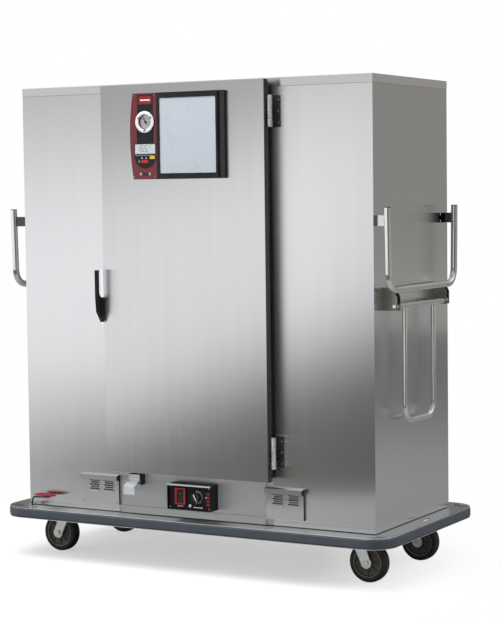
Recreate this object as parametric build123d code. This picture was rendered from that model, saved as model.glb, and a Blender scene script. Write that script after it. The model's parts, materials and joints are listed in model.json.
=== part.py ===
"""Mobile heated holding cabinet with one hinged door, on a bumpered deck with four swivel casters.

Millimetres. +X runs along the cabinet, the door faces -Y and +Z is up.
The origin is on the floor, under the middle of the whole cabinet.
Body parts are drawn about the foot of the body, and deck parts about the middle of the deck on the floor.
"""

import os
from math import sqrt

from build123d import *

# Body
BODY_LENGTH = 1550.0
BODY_DEPTH = 664.0
BODY_HEIGHT = 1670.0
BODY_FOOT_Z = 202.0
BODY_Y = 2.75
SHEET = 1.5
LINER_SHEET = 1.2
CAP_HEIGHT = 32.0
CAP_LAP = 1.0
SEAM = 1.0
WALL = 40.0
CAVITY_FLOOR = 205.0
CAVITY_TOP = 1628.0

# Door and its opening
DOOR_LEFT = -355.0
DOOR_RIGHT = 365.0
DOOR_BOTTOM = 170.0
DOOR_TOP = 1663.0
DOOR_PROUD = 65.0
DOOR_PAN_DEPTH = 28.0
DOOR_RECESS = 9.0
OPENING_LEFT = -313.0
OPENING_RIGHT = 323.0
OPENING_BOTTOM = 207.0
OPENING_TOP = 1605.0
HINGE_X = 375.0
HINGE_Y = -372.0
HINGE_FEET = (220.0, 1487.0)
HINGE_HEIGHT = 117.0
KNUCKLE_RADIUS = 9.6
KNUCKLE_FOOT = 29.0
HINGE_PIN_RADIUS = 5.0

# Deck, bumper and casters
DECK_LENGTH = 1714.0
DECK_DEPTH = 862.0
DECK_Y = 7.25
DECK_CORNER = 100.0
DECK_TOP = 200.0
DECK_SHEET = 4.0
CHANNEL_TOP = 201.5
CHANNEL_FOOT = 160.5
CHANNEL_WEB = 12.0
CHANNEL_INNER = 16.0
WHEEL_RADIUS = 76.2
WHEEL_WIDTH = 50.0
CASTER_X = 655.0
CASTER_Y = 228.0
CASTER_TRAIL = 41.0

# Brake pedal's shaft, on the deck in front of the body's left corner
PEDAL_X = -733.0
PEDAL_Y = -371.0
PEDAL_ROD = 3.0
PEDAL_SHAFT_LIFT = 7.0

# End handles
PUSH_TUBE_RADIUS = 12.7
PUSH_X = 829.0
PUSH_FRONT_Y = -331.0
PUSH_BACK_Y = 274.0
PUSH_TOP = 1188.0
PUSH_GRIP = 888.0
PUSH_BEND = 60.0
PUSH_TAPER = 9.0
PUSH_BRACKET_Z = 1141.0
PULL_TUBE_RADIUS = 10.5
PULL_PIVOT_RADIUS = 11.0
PULL_X = 815.0
PULL_Z = 825.0
PULL_FRONT_LEG_Y = -158.0
PULL_BACK_LEG_Y = 100.0
PULL_GRIP = 396.0
PULL_BEND = 58.0
PULL_BRACKETS = (-250.0, 194.0)
PULL_BRACKET_WIDTH = 30.0

# Fits
RUNNING = 0.05
GAP = 0.3

FRONT = -BODY_DEPTH / 2
BACK = BODY_DEPTH / 2
END = BODY_LENGTH / 2
PANEL_FRONT = FRONT + CAP_LAP
PANEL_BACK = PANEL_FRONT + SHEET
CAP_FOOT = BODY_HEIGHT - CAP_HEIGHT
SKIN_TOP = CAP_FOOT - SEAM
DOOR_FACE = FRONT - DOOR_PROUD
PAN_BACK = DOOR_FACE + DOOR_PAN_DEPTH
LINER_FRONT = FRONT + 42.0
LINER_BACK = BACK - WALL
LINER_END = END - WALL


def block(x0, x1, y0, y1, z0, z1):
    """A box between two corners."""
    centre = Pos((x0 + x1) / 2, (y0 + y1) / 2, (z0 + z1) / 2)
    return centre * Box(x1 - x0, y1 - y0, z1 - z0)


def rod_x(radius, x0, x1, y, z):
    """A round bar along X."""
    return Pos((x0 + x1) / 2, y, z) * Rot(0, 90, 0) * Cylinder(radius, x1 - x0)


def rod_y(radius, y0, y1, x, z):
    """A round bar along Y."""
    return Pos(x, (y0 + y1) / 2, z) * Rot(90, 0, 0) * Cylinder(radius, y1 - y0)


def rod_z(radius, z0, z1, x, y):
    """A round bar along Z."""
    return Pos(x, y, (z0 + z1) / 2) * Cylinder(radius, z1 - z0)


def profile_along_x(points, x0, x1):
    """A closed outline in the YZ plane, given a thickness along X."""
    outline = Polyline(*[(x0, y, z) for y, z in points], close=True)
    return extrude(make_face(outline), amount=x1 - x0, dir=(1, 0, 0))


def profile_along_y(points, y0, y1):
    """A closed outline in the XZ plane, given a thickness along Y."""
    outline = Polyline(*[(x, y0, z) for x, z in points], close=True)
    return extrude(make_face(outline), amount=y1 - y0, dir=(0, 1, 0))


def tube_along(points, bend, radius, wall):
    """A round tube through the points, bent to one radius at each corner."""
    path = FilletPolyline(*points, radius=bend)
    plane = Plane(path @ 0, z_dir=path % 0)
    outer = sweep(plane * Circle(radius), path=path)
    return outer - sweep(plane * Circle(radius - wall), path=path)


def solid_bar_along(points, bend, radius):
    """A round bar through the points, bent to one radius at each corner."""
    path = FilletPolyline(*points, radius=bend)
    return sweep(Plane(path @ 0, z_dir=path % 0) * Circle(radius), path=path)


def group(shapes):
    """Several separate solids kept together as one piece type."""
    return Compound(children=[solid for shape in shapes for solid in shape.solids()])


def save_body(name, shape):
    export_step(Pos(0, BODY_Y, BODY_FOOT_Z) * shape, f"parts/{name}.step")


def save_deck(name, shape):
    export_step(Pos(0, DECK_Y, 0) * shape, f"parts/{name}.step")


# ---- Deck and casters, about the middle of the deck on the floor ----

POCKET_X = 801.0
POCKET_Y = 374.0
POCKET_LONG = 38.0
POCKET_SHORT = 17.0
POCKET_DEPTH = 12.0
POCKET_WALL = 3.0
TOW_SLOT_X = 806.0
TOW_SLOT_Y = 34.0
TOW_SLOT_LONG = 52.0
TOW_SLOT_WIDE = 16.0
CORNERS = [(-1, -1), (1, -1), (-1, 1), (1, 1)]
CORNER_NAMES = ["front_left", "front_right", "back_left", "back_right"]


def deck_outline(inset):
    """The deck's rounded outline, moved in from the bumper's outer face."""
    return RectangleRounded(DECK_LENGTH - 2 * inset, DECK_DEPTH - 2 * inset, DECK_CORNER - inset)


def deck_ring(outer_inset, inner_inset, z0, z1):
    outer = extrude(deck_outline(outer_inset), z1 - z0)
    return Pos(0, 0, z0) * (outer - extrude(deck_outline(inner_inset), z1 - z0))


def pocket_shape(side, end, grow, z0, z1):
    face = Rot(0, 0, -45 * side * end) * Ellipse(POCKET_LONG + grow, POCKET_SHORT + grow)
    return Pos(side * POCKET_X, end * POCKET_Y, z0) * extrude(face, z1 - z0)


def deck_pan():
    foot = DECK_TOP - DECK_SHEET
    pan = Pos(0, 0, foot) * extrude(deck_outline(CHANNEL_INNER + GAP), DECK_SHEET)
    cup_foot = DECK_TOP - POCKET_DEPTH - POCKET_WALL
    for side, end in CORNERS:
        pan += pocket_shape(side, end, POCKET_WALL, cup_foot, DECK_TOP)
        pan -= pocket_shape(side, end, 0, cup_foot + POCKET_WALL, DECK_TOP)
    for side in (-1, 1):
        slot = Rot(0, 0, 90) * SlotOverall(TOW_SLOT_LONG, TOW_SLOT_WIDE)
        pan -= Pos(side * TOW_SLOT_X, TOW_SLOT_Y, foot) * extrude(slot, DECK_SHEET)
    return pan + pedal_ears()


def pedal_ears():
    """Two drilled ears, welded to the pan, that carry the brake pedal's shaft."""
    y = PEDAL_Y + BODY_Y - DECK_Y
    z = DECK_TOP + PEDAL_SHAFT_LIFT
    inner = 13.5
    outer = 17.5
    half = 7.0
    ears = block(PEDAL_X - half, PEDAL_X + half, y - outer, y + outer, DECK_TOP - 1, z)
    ears += rod_y(half, y - outer, y + outer, PEDAL_X, z)
    ears -= block(PEDAL_X - half, PEDAL_X + half, y - inner, y + inner, DECK_TOP, z + half)
    return ears - rod_y(PEDAL_ROD + RUNNING, y - outer, y + outer, PEDAL_X, z)


def deck_crossmembers():
    width = 60.0
    foot = 163.0
    reach = DECK_DEPTH / 2 - 22.0
    wall = 3.0
    top = DECK_TOP - DECK_SHEET
    shapes = []
    for x in (-510.0, -170.0, 170.0, 510.0):
        outer = block(x - width / 2, x + width / 2, -reach, reach, foot, top)
        inner = block(x - width / 2 + wall, x + width / 2 - wall, -reach, reach, foot, top - wall)
        shapes.append(outer - inner)
    return group(shapes)


def bumper_channel():
    lip = 2.5
    lip_thickness = 2.3
    web = deck_ring(CHANNEL_WEB, CHANNEL_INNER, CHANNEL_FOOT, CHANNEL_TOP)
    top = deck_ring(lip, CHANNEL_WEB + 1, CHANNEL_TOP - lip_thickness, CHANNEL_TOP)
    foot = deck_ring(lip, CHANNEL_WEB + 1, CHANNEL_FOOT, CHANNEL_FOOT + lip_thickness)
    return web + top + foot


def bumper():
    edge_radius = 7.0
    z0 = CHANNEL_FOOT + 2.5
    z1 = CHANNEL_TOP - 2.5
    solid = Pos(0, 0, z0) * extrude(deck_outline(0), z1 - z0)
    rims = solid.faces().sort_by(Axis.Z)[0].edges() + solid.faces().sort_by(Axis.Z)[-1].edges()
    solid = fillet(rims, edge_radius)
    return solid - Pos(0, 0, z0) * extrude(deck_outline(CHANNEL_WEB - 0.2), z1 - z0)


def caster_plate(side, end):
    x = side * CASTER_X
    y = end * CASTER_Y
    half_x = 57.0
    half_y = 50.0
    top = DECK_TOP - DECK_SHEET
    plate = block(x - half_x, x + half_x, y - half_y, y + half_y, top - 6, top)
    plate += rod_z(38, 182, top - 6, x, y)
    plate += rod_z(8, 166, 182, x, y)
    return plate + rod_z(12, 165.5, 169.6, x, y)


def caster_plates():
    return group([caster_plate(side, end) for side, end in CORNERS])


def caster_fork(side, end):
    """Fork with its riveted axle. The wheel trails outwards along X."""
    x = side * CASTER_X
    y = end * CASTER_Y
    axle_x = x + side * CASTER_TRAIL
    leg_inner = WHEEL_WIDTH / 2 + 3
    leg_outer = leg_inner + 4
    crown_foot = 170.0
    crown_top = 176.0
    eye = 21.0
    fork = rod_z(36, crown_foot, 181.6, x, y)
    near = x - side * 29
    far = x + side * 22
    low_x, high_x = sorted((x - side * 34, x + side * 34))
    fork += block(low_x, high_x, y - leg_outer, y + leg_outer, crown_foot, crown_top)
    for facing in (-1, 1):
        y0, y1 = sorted((y + facing * leg_inner, y + facing * leg_outer))
        points = [
            (near, crown_top),
            (far, crown_top),
            (axle_x + side * eye, WHEEL_RADIUS),
            (axle_x - side * eye, WHEEL_RADIUS),
        ]
        fork += profile_along_y(points, y0, y1) + rod_y(eye, y0, y1, axle_x, WHEEL_RADIUS)
    fork -= rod_z(8 + RUNNING, crown_foot, 181.6, x, y)
    fork += rod_y(6, y - leg_outer - 2, y + leg_outer + 2, axle_x, WHEEL_RADIUS)
    for facing in (-1, 1):
        y0, y1 = sorted((y + facing * leg_outer, y + facing * (leg_outer + 6)))
        fork += rod_y(10, y0, y1, axle_x, WHEEL_RADIUS)
    return fork


def wheel(side, end):
    """Hub with its bonded tread, turned about the axle."""
    half = WHEEL_WIDTH / 2
    bore = 6 + RUNNING
    hub = 19.0
    dish = 54.0
    dish_depth = 11.0
    crown = 9.0
    outline = Polyline(
        (bore, -half), (hub, -half), (hub, -half + dish_depth), (dish, -half + dish_depth),
        (dish, -half + 2), (WHEEL_RADIUS - crown, -half + 2), (WHEEL_RADIUS, -half + 2 + crown),
        (WHEEL_RADIUS, half - 2 - crown), (WHEEL_RADIUS - crown, half - 2), (dish, half - 2),
        (dish, half - dish_depth), (hub, half - dish_depth), (hub, half), (bore, half), close=True,
    )
    solid = revolve(make_face(outline), Axis.Y)
    return Pos(side * (CASTER_X + CASTER_TRAIL), end * CASTER_Y, WHEEL_RADIUS) * solid


# ---- Body shell ----


def body_wrap():
    """The two ends and the back, folded from one sheet."""
    end = END - CAP_LAP
    back = BACK - CAP_LAP
    front = PANEL_BACK + 0.1
    outer = block(-end, end, front, back, SEAM, SKIN_TOP)
    return outer - block(-end + SHEET, end - SHEET, front, back - SHEET, SEAM, SKIN_TOP)


def top_cap():
    edge_radius = 1.2
    cap = block(-END, END, FRONT, BACK, CAP_FOOT, BODY_HEIGHT)
    cap = fillet(cap.faces().sort_by(Axis.Z)[-1].edges() + cap.edges().filter_by(Axis.Z), edge_radius)
    return cap - block(
        -END + SHEET, END - SHEET, FRONT + SHEET, BACK - SHEET, CAP_FOOT, BODY_HEIGHT - SHEET
    )


def front_panel(x0, x1):
    """A front sheet with a return flange down each side."""
    flange = 14.0
    inset = 2.0 * SHEET
    panel = block(x0, x1, PANEL_FRONT, PANEL_BACK, SEAM, SKIN_TOP)
    for x in (x0 + inset, x1 - inset - SHEET):
        panel += block(x, x + SHEET, PANEL_BACK, PANEL_BACK + flange, SEAM, DOOR_BOTTOM - 5)
    return panel


def door_frame():
    """The sheet that the door's gasket seals on, with the throat that leads to the liner."""
    ring = block(DOOR_LEFT + 14.5, DOOR_RIGHT - 14.5, PANEL_FRONT, PANEL_BACK, DOOR_BOTTOM - 4, SKIN_TOP)
    throat = block(
        OPENING_LEFT - SHEET, OPENING_RIGHT + SHEET, PANEL_FRONT, LINER_FRONT,
        OPENING_BOTTOM - SHEET, OPENING_TOP + SHEET,
    )
    hole = block(OPENING_LEFT, OPENING_RIGHT, PANEL_FRONT, LINER_FRONT, OPENING_BOTTOM, OPENING_TOP)
    return ring + throat - hole


APRON_LEFT = -325.0
APRON_RIGHT = 320.0
APRON_FOLD = 30.0
APRON_PROUD = 5.0


def apron_panel():
    """The sheet under the door, with its raised pan and a kick strip below the fold."""
    top = DOOR_BOTTOM - 5.0
    sheet = block(DOOR_LEFT + 14.5, DOOR_RIGHT - 14.5, PANEL_FRONT, PANEL_BACK, SEAM, top)
    pan = block(APRON_LEFT, APRON_RIGHT, PANEL_FRONT - APRON_PROUD, PANEL_FRONT, APRON_FOLD, top - 1)
    kick = profile_along_x(
        [
            (PANEL_FRONT, SEAM), (PANEL_FRONT - APRON_PROUD - 3, SEAM),
            (PANEL_FRONT - APRON_PROUD + 2, APRON_FOLD - 1), (PANEL_FRONT, APRON_FOLD - 1),
        ],
        APRON_LEFT, APRON_RIGHT,
    )
    return sheet + pan + kick


def inner_liner():
    """The cavity's sheet box, open at the door."""
    outer = block(-LINER_END, LINER_END, LINER_FRONT, LINER_BACK, CAVITY_FLOOR, CAVITY_TOP)
    t = LINER_SHEET
    inner = block(
        -LINER_END + t, LINER_END - t, LINER_FRONT + t, LINER_BACK - t, CAVITY_FLOOR + t, CAVITY_TOP - t
    )
    hole = block(OPENING_LEFT, OPENING_RIGHT, LINER_FRONT, LINER_FRONT + t, OPENING_BOTTOM, OPENING_TOP)
    return outer - inner - hole


def body_insulation():
    end = END - CAP_LAP - SHEET - 0.5
    back = BACK - CAP_LAP - SHEET - 0.5
    front = PANEL_BACK + 0.5
    gap = 0.5
    fill = block(-end, end, front, back, DOOR_BOTTOM, BODY_HEIGHT - SHEET - gap)
    fill -= block(
        -LINER_END - gap, LINER_END + gap, LINER_FRONT - gap, LINER_BACK + gap,
        CAVITY_FLOOR - gap, CAVITY_TOP + gap,
    )
    side = SHEET + gap
    return fill - block(
        OPENING_LEFT - side, OPENING_RIGHT + side, front, LINER_FRONT,
        OPENING_BOTTOM - side, OPENING_TOP + side,
    )


# ---- Inside the cavity ----

BAY_POSTS = (-724.0, -322.5, 332.5, 724.0)
POST = 16.0
POST_FRONT = -272.0
POST_BACK = 276.0
SHELF_LEVELS = (330.0, 585.0, 840.0, 1095.0, 1350.0)
SHELF_ROD = 4.0
SHELF_WIRE = 2.5


def rack_uprights():
    half = POST / 2
    posts = []
    for x in BAY_POSTS:
        for y in (POST_FRONT, POST_BACK):
            post = block(x - half, x + half, y - half, y + half, CAVITY_FLOOR + LINER_SHEET, CAVITY_TOP - 22)
            for turn in (-1, 1):
                if abs(x + turn * 2 * POST) > LINER_END:
                    continue
                x0, x1 = sorted((x + turn * half, x + turn * (half + 9)))
                for z in SHELF_LEVELS:
                    foot = z - SHELF_ROD - GAP
                    post += block(x0, x1, y - 5, y + 5, foot - 3, foot)
            posts.append(post)
    return group(posts)


def wire_shelf(x0, x1, z):
    """One welded wire shelf: a rod frame with wires from front to back."""
    y0 = POST_FRONT - 4
    y1 = POST_BACK + 4
    wires = 13
    shelf = rod_y(SHELF_ROD, y0, y1, x0, z) + rod_y(SHELF_ROD, y0, y1, x1, z)
    for y in (y0, (y0 + y1) / 2, y1):
        shelf += rod_x(SHELF_ROD, x0, x1, y, z)
    for i in range(1, wires):
        shelf += rod_y(SHELF_WIRE, y0, y1, x0 + (x1 - x0) * i / wires, z)
    return shelf


def wire_shelves():
    clear = POST / 2 + SHELF_ROD + 1.0
    shapes = []
    for left, right in zip(BAY_POSTS[:-1], BAY_POSTS[1:]):
        shelf = wire_shelf(left + clear, right - clear, 0)
        shapes += [Pos(0, 0, z) * shelf for z in SHELF_LEVELS]
    return group(shapes)


FAN_X = 330.0
FAN_Y = 60.0
FAN_SHAFT = 4.0


def fan_motor():
    motor = rod_z(42, 12, 72, FAN_X, FAN_Y) + block(FAN_X - 60, FAN_X + 60, FAN_Y - 25, FAN_Y + 25, 6, 12)
    return motor + rod_z(FAN_SHAFT, 72, 120, FAN_X, FAN_Y)


def fan_wheel():
    """A blower wheel: a back plate on a hub, with blades round the rim and a ring that ties them."""
    blades = 18
    plate = rod_z(58, 82, 84, FAN_X, FAN_Y) + rod_z(12, 80, 112, FAN_X, FAN_Y)
    plate += rod_z(58, 118, 120, FAN_X, FAN_Y) - rod_z(50, 118, 120, FAN_X, FAN_Y)
    blade = Pos(54, 0, 101) * Rot(0, 0, 35) * Box(9, 1.5, 36)
    for i in range(blades):
        plate += Pos(FAN_X, FAN_Y, 0) * Rot(0, 0, i * 360 / blades) * blade
    return plate - rod_z(FAN_SHAFT + RUNNING, 80, 112, FAN_X, FAN_Y)


def heater_element():
    z = 112.0
    points = [
        (-560, -200, z), (220, -200, z), (220, -60, z), (-560, -60, z),
        (-560, 80, z), (220, 80, z), (220, 220, z), (-560, 220, z),
    ]
    return solid_bar_along(points, 30.0, 4.2)


def thermostat_probe():
    y = LINER_BACK - LINER_SHEET - 8.0
    z = 1480.0
    probe = rod_x(4.5, -60, 60, y, z)
    for x in (-45, 45):
        probe += block(x - 5, x + 5, y - 6, LINER_BACK - LINER_SHEET - 0.1, z - 6, z + 6)
    return probe


def power_inlet():
    """Flanged mains inlet low on the back, with its three pins inside."""
    x = -560.0
    z = 92.0
    wall = BACK - CAP_LAP
    inlet = block(x - 34, x + 34, wall + 0.1, wall + 3, z - 34, z + 34)
    inlet += rod_y(26, wall + 3, wall + 24, x, z) - rod_y(22, wall + 3, wall + 24, x, z)
    for dx, dz in ((-8, 5), (8, 5), (0, -9)):
        inlet += rod_y(2.4, wall + 3, wall + 20, x + dx, z + dz)
    return inlet


# ---- Below the door ----

BOX_LEFT = -79.0
BOX_RIGHT = 112.0
BOX_FOOT = 41.0
BOX_TOP = 139.0
BOX_WALL = 2.5
BOX_BACK = PANEL_FRONT - APRON_PROUD - 0.1
BOX_FACE = DOOR_FACE + 9.0
KNOB_X = 50.0
KNOB_Z = 93.0
KNOB_TURN = -30.0
ROCKER_X = -22.0
ROCKER_Z = 93.0
ROCKER_HALF = 13.0
ROCKER_HALF_HEIGHT = 24.0
ROCKER_TILT = 8.0


def control_housing():
    shell = block(BOX_LEFT, BOX_RIGHT, DOOR_FACE, BOX_BACK, BOX_FOOT, BOX_TOP)
    return shell - block(
        BOX_LEFT + BOX_WALL, BOX_RIGHT - BOX_WALL, DOOR_FACE, BOX_BACK - BOX_WALL,
        BOX_FOOT + BOX_WALL, BOX_TOP - BOX_WALL,
    )


def control_face():
    """The recessed switch plate, with the knob's shaft and the rocker's guard and seat."""
    edge = BOX_WALL + GAP
    plate = block(BOX_LEFT + edge, BOX_RIGHT - edge, BOX_FACE, BOX_FACE + 2, BOX_FOOT + edge, BOX_TOP - edge)
    guard = ROCKER_HALF + 11
    guard_height = ROCKER_HALF_HEIGHT + 8
    plate += block(
        ROCKER_X - guard, ROCKER_X + guard, BOX_FACE - 5, BOX_FACE, ROCKER_Z - guard_height,
        ROCKER_Z + guard_height,
    )
    well_x = ROCKER_HALF + 1.5
    well_z = ROCKER_HALF_HEIGHT + 1.5
    plate += block(
        ROCKER_X - well_x - 2, ROCKER_X + well_x + 2, BOX_FACE, BOX_FACE + 22, ROCKER_Z - well_z - 2,
        ROCKER_Z + well_z + 2,
    )
    plate -= block(
        ROCKER_X - well_x, ROCKER_X + well_x, BOX_FACE - 5, BOX_FACE + 20, ROCKER_Z - well_z,
        ROCKER_Z + well_z,
    )
    plate += rod_x(1.5, ROCKER_X - well_x, ROCKER_X + well_x, BOX_FACE + 4, ROCKER_Z)
    return plate + rod_y(3, BOX_FACE - 9, BOX_FACE, KNOB_X, KNOB_Z)


def power_switch():
    """A rocker with two shallow wings, on the pin through its middle."""
    y = BOX_FACE + 4
    wing = ROCKER_HALF_HEIGHT
    points = [
        (y - 7, ROCKER_Z), (y - 10, ROCKER_Z + wing), (y + 2, ROCKER_Z + wing - 2),
        (y + 7, ROCKER_Z), (y + 2, ROCKER_Z - wing + 2), (y - 10, ROCKER_Z - wing),
    ]
    rocker = profile_along_x(points, ROCKER_X - ROCKER_HALF, ROCKER_X + ROCKER_HALF)
    rocker -= rod_x(1.5 + RUNNING, ROCKER_X - ROCKER_HALF, ROCKER_X + ROCKER_HALF, y, ROCKER_Z)
    return Pos(0, y, ROCKER_Z) * Rot(ROCKER_TILT, 0, 0) * Pos(0, -y, -ROCKER_Z) * rocker


def thermostat_knob():
    y1 = BOX_FACE - 0.5
    knob = rod_y(17, y1 - 14, y1, KNOB_X, KNOB_Z) + rod_y(19.5, y1 - 3, y1, KNOB_X, KNOB_Z)
    knob += block(KNOB_X - 2.5, KNOB_X + 2.5, y1 - 17, y1 - 13, KNOB_Z - 15, KNOB_Z + 15)
    knob -= rod_y(3 + RUNNING, y1 - 9, y1, KNOB_X, KNOB_Z)
    return Pos(KNOB_X, 0, KNOB_Z) * Rot(0, KNOB_TURN, 0) * Pos(-KNOB_X, 0, -KNOB_Z) * knob


VENT_TOP = 146.0
VENT_FOOT = 27.0
VENT_LEFT = (-512.0, -337.0)
VENT_RIGHT = (323.0, 483.0)
VENT_HOOD = 23.0
VENT_PAN = 9.0
LOUVRE_LEVELS = (81.0, 98.0, 115.0)
LOUVRE_HALF = 22.0


def vent_cover(x0, x1, columns):
    """A louvred pan with a drip hood along its top edge."""
    back = PANEL_FRONT - 0.1
    face = back - VENT_PAN
    lip = back - 2.0 - VENT_HOOD
    cover = block(x0, x1, face, back, VENT_FOOT, VENT_TOP)
    cover -= block(x0 + 1.5, x1 - 1.5, face + 1.5, back, VENT_FOOT + 1.5, VENT_TOP - 1.5)
    cover += profile_along_x(
        [
            (face, VENT_TOP), (lip, VENT_TOP - 3), (lip, VENT_TOP - 23), (lip + 1.5, VENT_TOP - 23),
            (lip + 1.5, VENT_TOP - 4.5), (face, VENT_TOP - 1.5),
        ],
        x0, x1,
    )
    for x in columns:
        for z in LOUVRE_LEVELS:
            scoop = profile_along_x(
                [(face + 1.5, z - 6), (face, z - 6), (face - 7, z + 1), (face - 7, z + 3), (face + 1.5, z + 3)],
                x - LOUVRE_HALF, x + LOUVRE_HALF,
            )
            cover += scoop
            cover -= block(x - LOUVRE_HALF + 2, x + LOUVRE_HALF - 2, face - 5.5, face + 1.5, z - 1, z + 6.5)
    return cover


def vent_covers():
    left = vent_cover(*VENT_LEFT, (-453.0, -387.0))
    right = vent_cover(*VENT_RIGHT, (373.0, 439.0))
    return group([left, right])


CLEVIS_LEFT = -274.0
CLEVIS_RIGHT = -217.0
CLEVIS_WALL = 3.0
TRANSPORT_Y = -350.0
TRANSPORT_Z = 134.0
TRANSPORT_PIN = 3.0


def transport_latch_bracket():
    back = PANEL_FRONT - APRON_PROUD - 0.1
    bracket = block(CLEVIS_LEFT, CLEVIS_RIGHT, back - 3, back, 118, 160)
    for x0 in (CLEVIS_LEFT, CLEVIS_RIGHT - CLEVIS_WALL):
        bracket += block(x0, x0 + CLEVIS_WALL, -366, back - 3, 118, 160)
    return bracket + rod_x(TRANSPORT_PIN, CLEVIS_LEFT, CLEVIS_RIGHT, TRANSPORT_Y, TRANSPORT_Z)


def transport_latch():
    """A bent plate on a barrel: catch plate above, thumb tab below."""
    x0 = CLEVIS_LEFT + CLEVIS_WALL + 0.5
    x1 = CLEVIS_RIGHT - CLEVIS_WALL - 0.5
    plate = profile_along_x(
        [
            (-368, 160), (-371, 160), (-371, 139), (-409, 118), (-409, 86), (-406, 86),
            (-406, 116), (-368, 137),
        ],
        x0, x1,
    )
    plate += block(x0, x1, -369, TRANSPORT_Y, TRANSPORT_Z - 2, TRANSPORT_Z + 4)
    plate += rod_x(7.5, x0, x1, TRANSPORT_Y, TRANSPORT_Z)
    return plate - rod_x(TRANSPORT_PIN + RUNNING, x0, x1, TRANSPORT_Y, TRANSPORT_Z)


# ---- Door ----


def door_skin():
    """The outer pan, with a narrow return flange round its back."""
    edge_radius = 1.3
    pan = block(DOOR_LEFT, DOOR_RIGHT, DOOR_FACE, PAN_BACK, DOOR_BOTTOM, DOOR_TOP)
    rims = pan.faces().sort_by(Axis.Y)[0].edges() + pan.edges().filter_by(Axis.Y)
    pan = fillet(rims, edge_radius)
    t = SHEET
    pan -= block(
        DOOR_LEFT + t, DOOR_RIGHT - t, DOOR_FACE + t, PAN_BACK - t, DOOR_BOTTOM + t, DOOR_TOP - t
    )
    f = 12.0
    return pan - block(
        DOOR_LEFT + f, DOOR_RIGHT - f, PAN_BACK - t, PAN_BACK, DOOR_BOTTOM + f, DOOR_TOP - f
    )


LINER_PAN_BACK = FRONT - 13.0


def door_liner():
    """The inner pan, which stands back from the outer pan's edge all round."""
    r = DOOR_RECESS
    t = SHEET
    pan = block(
        DOOR_LEFT + r, DOOR_RIGHT - r, PAN_BACK, LINER_PAN_BACK, DOOR_BOTTOM + r, DOOR_TOP - r
    )
    r += t
    return pan - block(
        DOOR_LEFT + r, DOOR_RIGHT - r, PAN_BACK, LINER_PAN_BACK - t, DOOR_BOTTOM + r, DOOR_TOP - r
    )


def door_insulation():
    t = SHEET + 0.2
    core = block(
        DOOR_LEFT + t, DOOR_RIGHT - t, DOOR_FACE + t, PAN_BACK - t, DOOR_BOTTOM + t, DOOR_TOP - t
    )
    f = 12.5
    return core + block(
        DOOR_LEFT + f, DOOR_RIGHT - f, PAN_BACK - t, LINER_PAN_BACK - t, DOOR_BOTTOM + f, DOOR_TOP - f
    )


def door_gasket():
    x0, x1, z0, z1 = -336.0, 346.0, 190.0, 1626.0
    width = 18.0
    front = LINER_PAN_BACK
    back = PANEL_FRONT - 0.6
    ring = block(x0, x1, front, back, z0, z1)
    return ring - block(x0 + width, x1 - width, front, back, z0 + width, z1 - width)


def hinge_frame_leaf(foot):
    """Fixed leaf: a plate on the panel, an arm, the lower knuckle and the lift-off pin."""
    top = foot + HINGE_HEIGHT
    leaf = block(368, 398, PANEL_FRONT - 3, PANEL_FRONT - 0.1, foot, top)
    leaf += block(HINGE_X - 3, HINGE_X + 3, HINGE_Y + 6, PANEL_FRONT - 3, foot, foot + KNUCKLE_FOOT)
    leaf += rod_z(KNUCKLE_RADIUS, foot, foot + KNUCKLE_FOOT, HINGE_X, HINGE_Y)
    return leaf + rod_z(HINGE_PIN_RADIUS, foot + KNUCKLE_FOOT, top - 6, HINGE_X, HINGE_Y)


def hinge_door_leaf(foot):
    """Moving leaf: the upper knuckle, closed at the top, and the flange screwed to the liner pan."""
    top = foot + HINGE_HEIGHT
    z0 = foot + KNUCKLE_FOOT + 0.6
    liner_side = DOOR_RIGHT - DOOR_RECESS
    leaf = rod_z(KNUCKLE_RADIUS, z0, top, HINGE_X, HINGE_Y)
    leaf += block(liner_side + 0.1, HINGE_X, PAN_BACK + 0.5, PAN_BACK + 4, z0, top)
    leaf += block(liner_side + 0.1, liner_side + 3, PAN_BACK + 0.5, LINER_PAN_BACK - 2, z0, top)
    return leaf - rod_z(HINGE_PIN_RADIUS + RUNNING, z0, top - 5, HINGE_X, HINGE_Y)


def hinge_frame_leaves():
    return group([hinge_frame_leaf(foot) for foot in HINGE_FEET])


def hinge_door_leaves():
    return group([hinge_door_leaf(foot) for foot in HINGE_FEET])


LATCH_LEFT = -369.0
LEVER_LEFT = -367.0
LEVER_RIGHT = -350.0
LEVER_PIVOT_Y = -407.0
LEVER_PIVOT_Z = 768.0
LEVER_PIN = 2.5
PLUNGER_X = -362.0
PLUNGER_Z = 755.5
PLUNGER_RADIUS = 4.0


def latch_base():
    """The latch case on the door's edge, with the lug that carries the lever's pin."""
    side = DOOR_LEFT - 0.3
    case = block(LATCH_LEFT, side, DOOR_FACE, -345, 745, 958)
    case += block(-361, -356, LEVER_PIVOT_Y, DOOR_FACE, LEVER_PIVOT_Z - 5.5, LEVER_PIVOT_Z + 5.5)
    case += rod_x(5.5, -361, -356, LEVER_PIVOT_Y, LEVER_PIVOT_Z)
    case -= rod_y(PLUNGER_RADIUS + RUNNING, DOOR_FACE, -345, PLUNGER_X, PLUNGER_Z)
    return case + rod_x(LEVER_PIN, LEVER_LEFT + 1, LEVER_RIGHT - 1, LEVER_PIVOT_Y, LEVER_PIVOT_Z)


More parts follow.
